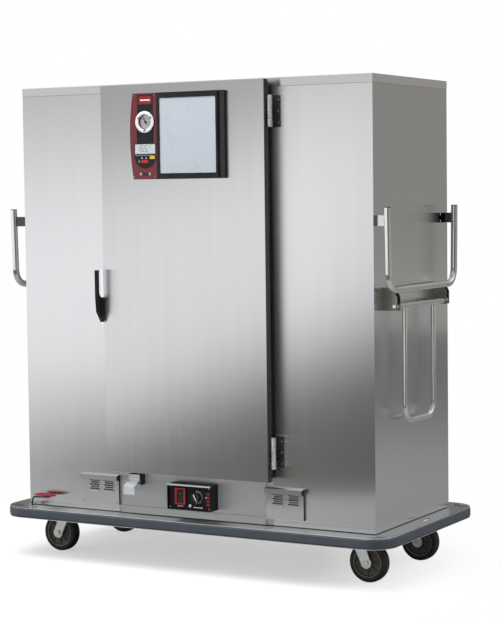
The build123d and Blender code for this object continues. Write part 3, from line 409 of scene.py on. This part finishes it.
def blocks(name, boxes, material, body, bevel=None, place=body_point):
    """Boxes given as x0, x1, y0, y1, z0, z1 in millimetres, joined as one piece."""
    bm = bmesh.new()
    for x0, x1, y0, y1, z0, z1 in boxes:
        block_into(bm, place(x0, y0, z0), place(x1, y1, z1))
    return finish_piece(object_from(name, bm), material, body, bevel=bevel)


def circle(cx, cz, radius, steps=40, start=0.0, sweep=360.0):
    full = abs(sweep) >= 360.0
    count = steps if full else steps + 1
    return [
        (
            cx + radius * math.cos(math.radians(start + sweep * i / steps)),
            cz + radius * math.sin(math.radians(start + sweep * i / steps)),
        )
        for i in range(count)
    ]


def arc_band(cx, cz, inner, outer, start, sweep, steps=32):
    """A closed outline of part of a ring."""
    return circle(cx, cz, outer, steps, start, sweep) + circle(cx, cz, inner, steps, start, sweep)[::-1]


def rounded(x0, x1, z0, z1, radius, steps=6):
    """A rectangle's outline with rounded corners."""
    corners = ((x1 - radius, z1 - radius, 0), (x0 + radius, z1 - radius, 90),
               (x0 + radius, z0 + radius, 180), (x1 - radius, z0 + radius, 270))
    points = []
    for cx, cz, start in corners:
        points += circle(cx, cz, radius, steps, start, 90.0)
    return points


def flat(name, loops, y_back, thick, material, body, bevel=0.0, matrix=None):
    """A flat plate facing the door's side. Loops are (x, z) outlines, and inner ones cut holes."""
    curve = bpy.data.curves.new(name, "CURVE")
    curve.dimensions = "2D"
    curve.fill_mode = "BOTH"
    curve.extrude = (thick / 2 - bevel) * MM
    curve.bevel_depth = bevel * MM
    curve.bevel_resolution = 1
    curve.offset = -bevel * MM
    for loop in loops:
        spline = curve.splines.new("POLY")
        spline.points.add(len(loop) - 1)
        for point, (x, z) in zip(spline.points, loop):
            point.co = (x * MM, z * MM, 0.0, 1.0)
        spline.use_cyclic_u = True
    holder = bpy.data.objects.new(name + "_outline", curve)
    bpy.context.scene.collection.objects.link(holder)
    mesh = bpy.data.meshes.new_from_object(holder.evaluated_get(bpy.context.evaluated_depsgraph_get()))
    bpy.data.objects.remove(holder)
    bpy.data.curves.remove(curve)
    upright = Matrix.Translation(body_point(0, y_back - thick / 2, 0)) @ Matrix.Rotation(math.pi / 2, 4, "X")
    mesh.transform(matrix @ upright if matrix else upright)
    mesh.name = name
    obj = bpy.data.objects.new(name, mesh)
    bpy.context.scene.collection.objects.link(obj)
    return finish_piece(obj, material, body)


def print_text(name, words, size, material, body, thick=0.3):
    """Raised generic figures, each (text, x, y_back, z), facing the door's side."""
    parts = bmesh.new()
    for text, x, y_back, z in words:
        font = bpy.data.curves.new(name, "FONT")
        font.body = text
        font.size = size * MM
        font.extrude = thick / 2 * MM
        font.align_x = "CENTER"
        font.align_y = "CENTER"
        holder = bpy.data.objects.new(name + "_text", font)
        bpy.context.scene.collection.objects.link(holder)
        mesh = bpy.data.meshes.new_from_object(
            holder.evaluated_get(bpy.context.evaluated_depsgraph_get()))
        bpy.data.objects.remove(holder)
        bpy.data.curves.remove(font)
        place = Matrix.Translation(body_point(x, y_back - thick / 2, z))
        place = place @ Matrix.Rotation(math.pi / 2, 4, "X")
        mesh.transform(place)
        parts.from_mesh(mesh)
        bpy.data.meshes.remove(mesh)
    return finish_piece(object_from(name, parts), material, body)


SCREW_PROFILE = (
    (1.0, 0.0), (1.0, 0.18), (0.86, 0.42), (0.55, 0.56), (0.36, 0.58), (0.30, 0.2), (0.001, 0.12),
)


def screws(name, places, axis, radius, material, body):
    """Low domed screw heads with a socket, standing on their points along axis."""
    bm = bmesh.new()
    profile = [(r * radius, h * radius) for r, h in SCREW_PROFILE]
    for place in places:
        lathe_into(bm, profile, facing(place, axis), steps=18, closed=False)
    return finish_piece(object_from(name, bm), material, body, smooth_angle=40)


# ---------------------------------------------------------------- the CAD pieces' looks

SPECIAL_LOOKS = {
    "top_cap": TOP_SHEET, "front_panel_left": LEFT_SHEET, "front_panel_right": RIGHT_SHEET,
    "door_skin": DOOR_SHEET, "apron_panel": SATIN_SHEET, "hinge_door_leaves": HINGE_BRIGHT,
    "hinge_frame_leaves": HINGE_LEAF, "push_handle_brackets": PUSH_BRACKET,
    "pull_handle_brackets": PULL_BRACKET, "transport_latch": LATCH_BRIGHT,
}
for node_name, node in NODES.items():
    material = MATERIALS[SLOT_OF[node_name]]
    material = SPECIAL_LOOKS.get(node_name, material)
    if node.material_slots:
        for material_slot in node.material_slots:
            material_slot.material = material
    else:
        node.data.materials.append(material)


def soften(node_name, width, segments=3):
    """Rounds a CAD piece's sharp edges."""
    node = NODES[node_name]
    weld = node.modifiers.new("weld", "WELD")
    weld.merge_threshold = 0.00002
    mod = node.modifiers.new("soft_edges", "BEVEL")
    mod.width = width * MM
    mod.segments = segments
    mod.limit_method = "ANGLE"
    mod.angle_limit = math.radians(40)


# ---------------------------------------------------------------- door instruments

DOOR_FACE = -397.0
BEZEL_FACE = DOOR_FACE - 10.0
DIAL_X = -146.0
DIAL_Z = 1519.0


def build_instruments():
    body = "door"
    # The mode button stands across the column's right edge, so that edge is notched round it.
    notch = [(-111, 1377), (-128, 1377), (-128, 1391), (-111, 1391)]
    column = [rounded(-181, -111, 1352, 1622, 3) + notch]
    column.append(circle(DIAL_X, DIAL_Z, 42.0))
    column.append(rounded(-180.0, -112.0, 1397, 1437, 0.5))
    column.append([(-165, 1362), (-165, 1377.5), (-133, 1377.5), (-133, 1362)])
    flat("bezel_column", column, BEZEL_FACE, 0.5, MATERIALS["frame_black"], body)
    flat("bezel_plate", [rounded(-174, -115, 1586, 1616, 1.5)], BEZEL_FACE - 0.5, 0.6, PRINT_RED, body,
         bevel=0.15)
    bars = [rounded(-166, -123, 1599, 1604, 1.0)]
    flat("bezel_plate_bar", bars, BEZEL_FACE - 1.1, 0.2, PRINT_WHITE, body)

    # Dial: a silver face in the well, with figures round a black scale.
    well = BEZEL_FACE + 4.0
    axis = (0, -1, 0)
    lathe("dial_face", [(0.001, 0.0), (26.6, 0.0), (26.6, 0.7), (2.2, 0.7), (2.2, 0.1), (0.001, 0.1)],
          facing(body_point(DIAL_X, well - 0.05, DIAL_Z), axis), DIAL_SILVER, body)
    ticks = []
    for i in range(25):
        turn = math.radians(225 - i * 270 / 24)
        inner = 20.5 if i % 4 == 0 else 22.5
        half = 0.45 if i % 4 == 0 else 0.25
        side = Vector((-math.sin(turn), math.cos(turn))) * half
        near = Vector((math.cos(turn), math.sin(turn))) * inner
        far = Vector((math.cos(turn), math.sin(turn))) * 25.0
        centre = Vector((DIAL_X, DIAL_Z))
        ticks.append([tuple(centre + p) for p in (near - side, far - side, far + side, near + side)])
    flat("dial_ticks", ticks, well - 0.75, 0.15, DIGIT_GREY, body)
    figures = []
    for i in range(7):
        turn = math.radians(225 - i * 45)
        across, rise = 15.5 * math.cos(turn), 15.5 * math.sin(turn)
        figures.append((str(i * 40), DIAL_X + across, well - 0.75, DIAL_Z + rise))
    print_text("dial_figures", figures, 6.0, DIGIT_GREY, body, thick=0.15)
    rim = facing(body_point(DIAL_X, BEZEL_FACE - 0.1, DIAL_Z), axis)
    lathe("dial_collar", [(41.0, 0.0), (41.0, 4.4), (38.5, 5.4), (31.0, 5.4), (28.2, 3.0), (28.2, 0.0)], rim,
          PRINT_WHITE, body, steps=64)
    clips = bmesh.new()
    for start in (90, 210, 330):
        turn = Matrix.Rotation(math.radians(start), 4, "Y")
        local = Matrix.Translation(body_point(DIAL_X, BEZEL_FACE, DIAL_Z)) @ turn
        block_into(clips, Vector((0.0265, -0.0068, -0.004)), Vector((0.036, -0.0040, 0.004)), local)
    finish_piece(object_from("dial_clips", clips), MATERIALS["hinge_steel"], body, bevel=0.6)

    # Display: seven-segment figures behind the window, and the strip under it.
    face = BEZEL_FACE - 0.6
    segments = {"1": "bc", "6": "acdefg", "5": "acdfg", "0": "abcdef"}
    outlines = []
    for i, figure in enumerate("165"):
        x = -182 + i * 17.0
        z = 1418.0
        h = 10.5
        w = 9.5
        bars = {
            "a": (x, x + w, z + h - 1, z + h + 1), "g": (x, x + w, z - 1, z + 1),
            "d": (x, x + w, z - h - 1, z - h + 1), "f": (x - 1.4, x + 0.6, z + 1.6, z + h - 1.6),
            "b": (x + w - 0.6, x + w + 1.4, z + 1.6, z + h - 1.6),
            "e": (x - 1.4, x + 0.6, z - h + 1.6, z - 1.6),
            "c": (x + w - 0.6, x + w + 1.4, z - h + 1.6, z - 1.6),
        }
        for key in segments[figure]:
            x0, x1, z0, z1 = bars[key]
            outlines.append([(x0 + 0.2, z0), (x1 - 0.2, z0), (x1 - 0.2, z1), (x0 + 0.2, z1)])
    outlines.append(circle(-128.0, 1425.0, 2.4, 16))
    outlines.append(circle(-128.0, 1425.0, 1.2, 12))
    flat("display_figures", outlines, face, 0.15, DIGIT_GREY, body)
    rim = [rounded(-196, -99, 1395, 1439, 2.5), rounded(-193, -102, 1398.6, 1435.4, 1.0)]
    flat("display_rim", rim, BEZEL_FACE, 1.4, MATERIALS["frame_black"], body, bevel=0.3)
    flat("display_strip", [rounded(-190, -106, 1391.5, 1394.5, 0.5)], BEZEL_FACE, 0.8, PRINT_STEEL, body)

    # Half disc below the display, with its marks and two chrome screws.
    half = circle(-147, 1392, 49.0, 24, 180.0, 180.0)
    wells = [rounded(-127.2, -102.8, 1377.8, 1390.2, 0.8), rounded(-164.2, -133.8, 1362.8, 1377.2, 0.8)]
    flat("bezel_half_disc", [half] + wells, BEZEL_FACE, 0.55, MATERIALS["frame_black"], body)
    marks = [[(x - 3.2, 1381.0), (x + 3.2, 1381.0), (x, 1386.6)] for x in (-162.0, -143.0)]
    flat("bezel_triangles", marks, BEZEL_FACE - 0.55, 0.2, PRINT_WHITE, body)
    flat("bezel_mark", [rounded(-178, -170, 1366, 1374, 1.0)], BEZEL_FACE - 0.55, 0.25, PRINT_GREEN, body)
    screws("bezel_chrome_screws", [body_point(x, BEZEL_FACE - 0.5, 1321) for x in (-167.0, -126.5)], axis,
           6.0, MATERIALS["chrome"], body)
    # The slot between the chrome screws is a near-black plate, a painted shade in the slot.
    flat("bezel_slot", [rounded(-158, -136, 1317, 1325, 3.5)], BEZEL_FACE - 0.5, 0.3, PAINTED_SHADE, body)
    corner = [body_point(x, BEZEL_FACE, z) for x, z in
              ((-196, 1618), (-103, 1618), (-196, 1312), (-103, 1312))]
    screws("bezel_corner_screws", corner, axis, 3.0, MATERIALS["hinge_steel"], body)

build_instruments()

BOARD_FACE = DOOR_FACE - 12.0


def build_board():
    """The rail down the board's right side, and the screws that hold the frame."""
    body = "door"
    rail = [rounded(186.6, 204.6, 1303.5, 1626.5, 2.0)]
    flat("board_rail", rail, BOARD_FACE, 1.2, MATERIALS["knob_black"], body, bevel=0.4)
    rim = [rounded(-84, 169, 1320, 1611, 3.0), rounded(-80.5, 165.5, 1323.5, 1607.5, 1.0)]
    flat("board_rim", rim, BOARD_FACE, 0.8, MATERIALS["frame_black"], body, bevel=0.3)
    places = [body_point(x, BOARD_FACE, z) for x in (-88.5, 170.5) for z in (1311, 1465, 1619)]
    screws("board_screws", places, (0, -1, 0), 2.2, MATERIALS["black_steel"], body)


build_board()

# ---------------------------------------------------------------- control box

BOX_FACE = DOOR_FACE + 9.0
KNOB = (50.0, 93.0)
KNOB_LEAN = 30.0


def build_controls():
    body = "cabinet"
    axis = (0, -1, 0)
    trim = [(-79.5, 112.5, DOOR_FACE - 0.6, DOOR_FACE + 6, 133.5, 139.6)]
    blocks("control_trim", trim, MATERIALS["bright_trim"], body, bevel=0.5)
    ticks = []
    for i in range(9):
        turn = math.radians(100 - i * 25)
        side = Vector((-math.sin(turn), math.cos(turn))) * 0.5
        near = Vector((math.cos(turn), math.sin(turn))) * 22.0
        far = Vector((math.cos(turn), math.sin(turn))) * (27.0 if i % 2 == 0 else 25.0)
        centre = Vector(KNOB)
        ticks.append([tuple(centre + p) for p in (near - side, far - side, far + side, near + side)])
    flat("knob_scale", ticks, BOX_FACE, 0.25, PRINT_WHITE, body)
    flat("knob_arc", [arc_band(*KNOB, 20.8, 21.8, 100, -200)], BOX_FACE, 0.25, PRINT_WHITE, body)
    lean = math.radians(KNOB_LEAN)
    bar = [(-1.7, -14.0), (1.7, -14.0), (1.7, 14.0), (-1.7, 14.0)]
    cos, sin = math.cos(lean), math.sin(lean)
    pointer = [[(KNOB[0] + u * cos - v * sin, KNOB[1] + u * sin + v * cos) for u, v in bar]]
    flat("knob_pointer", pointer, BOX_FACE - 0.5 - 17.0, 0.4, PRINT_WHITE, "knob")
    flutes = bmesh.new()
    for i in range(18):
        turn = Matrix.Rotation(2 * math.pi * i / 18, 4, "Y")
        local = Matrix.Translation(body_point(KNOB[0], BOX_FACE - 0.5, KNOB[1])) @ turn
        block_into(flutes, Vector((0.0165, -0.0125, -0.0012)), Vector((0.0177, -0.0035, 0.0012)), local)
    finish_piece(object_from("knob_flutes", flutes), MATERIALS["knob_black"], "knob", bevel=0.3)
    stripes = [rounded(92, 106, z, z + 9, 1.0) for z in (62, 76, 90, 104)]
    flat("control_bars", stripes, BOX_FACE, 0.3, PRINT_RED, body)
    flat("control_arrow", [[(88, 90), (88, 98), (94, 94)]], BOX_FACE - 0.3, 0.2, PRINT_WHITE, body)
    lens = facing(body_point(19, BOX_FACE, 58), axis)
    lathe("pilot_lens", [(0.001, 0.0), (5.0, 0.0), (5.0, 1.6), (3.4, 3.4), (0.001, 4.0)], lens,
          LENS_PALE, body, steps=24, closed=False)
    lathe("pilot_ring", [(5.2, 0.0), (7.0, 0.0), (7.0, 1.4), (6.2, 2.2), (5.2, 2.2)], lens,
          MATERIALS["chrome"], body, steps=28)
    corners = [body_point(x, BOX_FACE, z) for x in (-70, 104) for z in (49, 129)]
    screws("control_screws", corners, axis, 2.6, MATERIALS["chrome"], body)
    # A plain red guard ring round the rocker, and short printed lines.
    outline = rounded(-46.0, 2.0, 61.5, 124.5, 4.0)
    window = rounded(-36.4, -7.6, 67.6, 118.4, 1.0)
    flat("rocker_guard", [outline, window], BOX_FACE - 5.05, 1.4, PRINT_RED, body, bevel=0.4)
    lines = [rounded(-38, -12, 53.5, 56.0, 1.0), rounded(34, 74, 52.0, 54.6, 1.0)]
    flat("control_lines", lines, BOX_FACE, 0.2, PRINT_WHITE, body)
    flat("rocker_marks", [rounded(-23.0, -21.0, 101, 109, 0.6)], BOX_FACE - 5.6, 0.2, PRINT_WHITE, "rocker")


build_controls()

# ---------------------------------------------------------------- handles, hinges, vents and latches


def build_fixings():
    axis = (0, -1, 0)
    wall = -332.0 + 1.0
    # Hinges: three screws in each frame leaf.
    leaf = [body_point(390.5, wall - 3.05, foot + dz) for foot in (220.0, 1487.0) for dz in (16, 58, 100)]
    screws("hinge_screws", leaf, axis, 4.0, MATERIALS["hinge_steel"], "cabinet")
    # Vent pans: the hood's and the pan's right ends are near-black plates, a painted shade, and near-black
    # blocks in the mouths of the louvres are painted shade.
    pan = wall - 1.1 - 9.0
    lip = wall - 1.1 - 25.0
    ends, mouths, heads = [], [], []
    for x0, x1, columns in ((-512.0, -337.0, (-453.0, -387.0)), (323.0, 483.0, (373.0, 439.0))):
        ends += [(x1, x1 + 0.3, lip + 0.2, pan, 124.0, 142.5), (x1, x1 + 0.3, pan, wall - 1.3, 27.5, 145.0)]
        for x in columns:
            for z in (81.0, 98.0, 115.0):
                mouths.append((x - 19.5, x + 19.5, pan - 4.8, pan + 1.0, z + 3.5, z + 6.3))
        heads += [body_point(x, pan, 36.0) for x in (x0 + 8, x1 - 8)]
    blocks("vent_ends", ends, PAINTED_SHADE, "cabinet")
    blocks("vent_mouths", mouths, PAINTED_SHADE, "cabinet")
    screws("vent_screws", heads, axis, 2.2, MATERIALS["hinge_steel"], "cabinet")
    strike = [body_point(x, wall - 3.05, z) for x in (-377.0, -350.0) for z in (744, 791)]
    screws("strike_screws", strike, axis, 2.6, MATERIALS["zinc"], "cabinet")
    case = [body_point(-369.05, y, z) for y, z in ((-382, 938), (-358, 938), (-382, 778), (-358, 778))]
    screws("latch_case_screws", case, (-1, 0, 0), 3.0, MATERIALS["chrome"], "door")
    bracket = []
    for side in (-1, 1):
        for y, inward in ((-331.0, 1), (274.0, -1)):
            for z in (1129.0, 1153.0):
                bracket.append(body_point(side * (774.0 + 3.1), y + inward * 16, z))
    for i, side in enumerate((-1, 1)):
        places = [p for p in bracket if p.x * side > 0]
        name = ("push_bolts_left", "push_bolts_right")[i]
        screws(name, places, (side, 0, 0), 4.5, MATERIALS["zinc"], "cabinet")
    channel = [body_point(774.0 + 3.1, y + 15, z) for y in (-250.0, 194.0) for z in (845.0, 880.0)]
    screws("pull_bolts", channel, (1, 0, 0), 4.5, MATERIALS["zinc"], "cabinet")
    inlet = [body_point(-560 + dx, 334.0, 92 + dz) for dx in (-28, 28) for dz in (-28, 28)]
    screws("inlet_screws", inlet, (0, 1, 0), 3.0, MATERIALS["zinc"], "cabinet")
    clevis = [body_point(x, -339.2, 126) for x in (-258.0, -233.0)]
    screws("transport_screws", clevis, axis, 3.0, MATERIALS["black_steel"], "cabinet")


build_fixings()


def build_pull_ends():
    """Crimped caps on the pivot tube's ends."""
    for name, y, side in (("front", -255.0, -1), ("back", 229.0, 1)):
        profile = [(0.001, 0.0), (11.0, 0.0), (10.2, 1.2), (7.0, 1.8), (0.001, 1.8)]
        lathe(f"pull_tube_cap_{name}", profile, facing(body_point(815.0, y, 825.0), (0, side, 0)),
              MATERIALS["stainless_tube"], "pull_loop", steps=32, closed=False)


build_pull_ends()

# ---------------------------------------------------------------- casters

TYRE = (
    (57.0, -21.0), (62.0, -22.6), (68.0, -22.4), (72.4, -19.6), (75.2, -14.5), (76.2, -8.0),
    (76.2, 8.0), (75.2, 14.5), (72.4, 19.6), (68.0, 22.4), (62.0, 22.6), (57.0, 21.0),
)
RING = (
    (53.4, -21.4), (54.4, -22.4), (56.6, -22.4), (57.2, -21.2), (57.2, 21.2), (56.6, 22.4),
    (54.4, 22.4), (53.4, 21.4),
)
HUB = (
    (6.3, -24.6), (13.0, -24.6), (17.0, -23.0), (18.4, -15.5), (24.0, -12.6), (44.0, -11.6),
    (50.0, -13.6), (52.6, -19.0), (53.5, -20.6), (53.5, 20.6), (52.6, 19.0), (50.0, 13.6),
    (44.0, 11.6), (24.0, 12.6), (18.4, 15.5), (17.0, 23.0), (13.0, 24.6), (6.3, 24.6),
)
SEAL = ((36.4, -4.0), (40.5, -4.0), (41.5, 0.0), (38.4, 4.6), (36.4, 4.6))
WHEEL_X = 696.0
KINGPIN_X = 655.0
CASTER_Y = 228.0
WHEEL_Z = 76.2
CASTERS = (("front_left", -1, -1), ("front_right", 1, -1), ("back_left", -1, 1), ("back_right", 1, 1))


def build_casters():
    for name, side, end in CASTERS:
        body = "wheel_" + name
        centre = deck_point(side * WHEEL_X, end * CASTER_Y, WHEEL_Z)
        axle = facing(centre, (0, 1, 0))
        tyre = lathe("tyre_" + name, TYRE, axle, MATERIALS["tread_black"], body, steps=72)
        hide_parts("wheel_" + name)
        lathe("wheel_ring_" + name, RING, axle, RING_LIGHT, body, steps=72)
        lathe("wheel_hub_" + name, HUB, axle, HUB_GREY, body, steps=60)
        ribs = bmesh.new()
        for i in range(8):
            turn = axle @ Matrix.Rotation(2 * math.pi * i / 8, 4, "Z")
            for low, high in ((-0.0165, -0.0112), (0.0112, 0.0165)):
                block_into(ribs, Vector((0.016, -0.0016, low)), Vector((0.0495, 0.0016, high)), turn)
        finish_piece(object_from("wheel_ribs_" + name, ribs), HUB_GREY, body, bevel=0.8)
        bolts = [
            deck_point(side * KINGPIN_X + dx * 47.0, end * CASTER_Y + dy * 40.0, 190.0)
            for dx in (-1, 1) for dy in (-1, 1)
        ]
        screws("plate_bolts_" + name, bolts, (0, 0, -1), 6.5, MATERIALS["zinc"], "cabinet")
        race = facing(deck_point(side * KINGPIN_X, end * CASTER_Y, 181.8), (0, 0, 1))
        lathe("swivel_seal_" + name, SEAL, race, MATERIALS["zinc"], "cabinet", steps=48)


build_casters()


def build_pad():
    """Ridges across the brake pad."""
    ridges = [(x, x + 2.4, -383.0, -359.0, 52.6, 54.4) for x in range(-704, -636, 8)]
    blocks("pad_ridges", ridges, MATERIALS["pad_red"], "pedal", bevel=0.6)


build_pad()

# ---------------------------------------------------------------- softened edges on CAD pieces

for soft_node, soft_width in (
    ("latch_lever", 3.2), ("control_housing", 0.8), ("menu_board_frame", 0.9), ("instrument_bezel", 1.2),
    ("mode_button", 0.6), ("set_button", 0.6), ("latch_base", 1.0), ("transport_latch", 0.5),
    ("vent_covers", 0.4), ("pull_handle_brackets", 0.7), ("push_handle_brackets", 0.5),
    ("power_switch", 0.8), ("thermostat_knob", 0.5), ("hinge_frame_leaves", 0.4),
    ("hinge_door_leaves", 0.4), ("apron_panel", 0.6), ("bumper_channel", 0.4),
):
    soften(soft_node, soft_width)

# ---------------------------------------------------------------- floor, light and camera


def build_floor():
    """A pale sweep: white to the eye beyond the shadow, a dim short sheet in the steel."""
    bm = bmesh.new()
    corners = ((-9.0, -3.6), (-2.6, -2.7), (-1.2, -1.85), (9.0, -1.85), (9.0, 11.0), (-9.0, 11.0))
    bm.faces.new([bm.verts.new((x, y, 0.0)) for x, y in corners])
    floor = object_from("floor", bm)
    mat, tree, shader = new_material("floor_pale")
    coords = object_coords(tree)
    faint = noise(tree, coords, (1.5, 1.5, 1.5), 3.0)

    def matt(low, high):
        node = add(tree, "ShaderNodeBsdfDiffuse")
        tree.links.new(ramp(tree, faint, [(0.3, low), (0.7, high)]), node.inputs["Color"])
        return node.outputs[0]

    def choose(factor, first, second):
        node = add(tree, "ShaderNodeMixShader")
        tree.links.new(factor, node.inputs[0])
        tree.links.new(first, node.inputs[1])
        tree.links.new(second, node.inputs[2])
        return node.outputs[0]

    glow = add(tree, "ShaderNodeEmission")
    glow.inputs["Color"].default_value = (1.0, 1.0, 1.0, 1.0)
    reach = add(tree, "ShaderNodeVectorMath", operation="DISTANCE")
    tree.links.new(coords, reach.inputs[0])
    reach.inputs[1].default_value = (-0.45, -0.35, 0.0)
    far = remap(tree, reach.outputs["Value"], 0.9, 1.6, 0.52, 1.0)
    seen = choose(far, matt((0.88, 0.88, 0.885), (0.90, 0.90, 0.905)), glow.outputs[0])
    dim = matt((0.27, 0.27, 0.27), (0.29, 0.29, 0.29))
    path = add(tree, "ShaderNodeLightPath")
    look = choose(path.outputs["Is Camera Ray"], dim, seen)
    tree.links.new(look, tree.nodes["Material Output"].inputs["Surface"])
    tree.nodes.remove(shader)
    floor.data.materials.append(mat)


build_floor()


def build_world():
    """A studio seen in the steel: a bright band at the horizon in front, a dim room behind."""
    world = bpy.data.worlds.new("studio")
    bpy.context.scene.world = world
    world.use_nodes = True
    tree = world.node_tree
    background = tree.nodes["Background"]
    direction = add(tree, "ShaderNodeTexCoord").outputs["Generated"]
    split = add(tree, "ShaderNodeSeparateXYZ")
    tree.links.new(direction, split.inputs[0])

    def math_node(operation, first, second):
        node = add(tree, "ShaderNodeMath", operation=operation)
        for i, value in enumerate((first, second)):
            if isinstance(value, (int, float)):
                node.inputs[i].default_value = value
            else:
                tree.links.new(value, node.inputs[i])
        return node.outputs[0]

    def smooth(value, low, high, out_low, out_high):
        node = add(tree, "ShaderNodeMapRange", interpolation_type="SMOOTHSTEP")
        node.inputs["From Min"].default_value = low
        node.inputs["From Max"].default_value = high
        node.inputs["To Min"].default_value = out_low
        node.inputs["To Max"].default_value = out_high
        tree.links.new(value, node.inputs["Value"])
        return node.outputs["Result"]

    x, y, z = split.outputs
    low_band = smooth(z, -0.145, -0.085, 0.13, 1.0)
    high_fade = smooth(z, -0.03, 0.10, 1.06, 0.53)
    front = math_node("MULTIPLY", low_band, high_fade)
    overhead = smooth(z, 0.25, 0.8, 0.0, 0.75)
    front = math_node("ADD", front, overhead)
    back = smooth(z, -0.14, -0.01, 0.46, 0.27)
    back = math_node("ADD", back, overhead)
    toward = math_node("ADD", math_node("MULTIPLY", x, -0.75), math_node("MULTIPLY", y, -0.66))
    back = math_node("MULTIPLY", back, smooth(toward, -0.6, -0.25, 1.15, 0.4))
    share = smooth(toward, 0.2, 0.6, 0.0, 1.0)
    level = math_node("ADD", math_node("MULTIPLY", front, share),
                      math_node("MULTIPLY", back, math_node("SUBTRACT", 1.0, share)))
    tint = ramp(tree, level, [(0.2, (1.0, 0.955, 0.895)), (0.6, (0.985, 0.99, 1.0))])
    scaled = add(tree, "ShaderNodeVectorMath", operation="SCALE")
    tree.links.new(tint, scaled.inputs[0])
    tree.links.new(level, scaled.inputs["Scale"])
    seen = add(tree, "ShaderNodeMix", data_type="RGBA")
    tree.links.new(add(tree, "ShaderNodeLightPath").outputs["Is Camera Ray"], seen.inputs["Factor"])
    tree.links.new(scaled.outputs[0], seen.inputs["A"])
    seen.inputs["B"].default_value = (1.0, 1.0, 1.0, 1.0)
    tree.links.new(seen.outputs["Result"], background.inputs["Color"])
    background.inputs["Strength"].default_value = 1.0


build_world()


def area_light(name, place, target, size, power, tint=(1.0, 1.0, 1.0), spread=180.0, glossy=True):
    data = bpy.data.lights.new(name, "AREA")
    data.shape = "RECTANGLE"
    data.size, data.size_y = size
    data.energy = power
    data.color = tint
    data.spread = math.radians(spread)
    lamp = bpy.data.objects.new(name, data)
    lamp.location = place
    lamp.rotation_euler = (Vector(target) - Vector(place)).to_track_quat("-Z", "Y").to_euler()
    lamp.visible_glossy = glossy
    lamp.visible_camera = False
    bpy.context.scene.collection.objects.link(lamp)


area_light("overhead_softbox", (-0.6, -1.6, 4.6), (0.0, 0.0, 0.4), (4.5, 3.5), 230.0, glossy=False)
area_light("left_softbox", (-4.2, -2.6, 2.4), (0.0, -0.3, 0.7), (2.4, 2.6), 60.0, glossy=False)
area_light("right_fill", (4.4, 0.8, 2.6), (0.5, 0.0, 0.4), (2.5, 2.5), 80.0, glossy=False)


def build_camera():
    """A long lens from the front right, level with the upper half of the doors."""
    yaw = math.radians(29.608)
    pitch = math.radians(3.731)
    roll = math.radians(-0.693)
    forward = Vector((-math.sin(yaw) * math.cos(pitch), math.cos(yaw) * math.cos(pitch), -math.sin(pitch)))
    level = Vector((math.cos(yaw), math.sin(yaw), 0.0))
    over = level.cross(forward)
    right = level * math.cos(roll) + over * math.sin(roll)
    up = over * math.cos(roll) - level * math.sin(roll)
    turn = Matrix((right, up, -forward)).transposed().to_4x4()
    data = bpy.data.cameras.new("camera")
    data.sensor_width = 36.0
    data.lens = 106.9
    camera = bpy.data.objects.new("camera", data)
    camera.matrix_world = Matrix.Translation(body_point(3665.7, -6326.1, 1255.7)) @ turn
    bpy.context.scene.collection.objects.link(camera)
    bpy.context.scene.camera = camera


build_camera()
bpy.context.scene.view_settings.view_transform = "Standard"
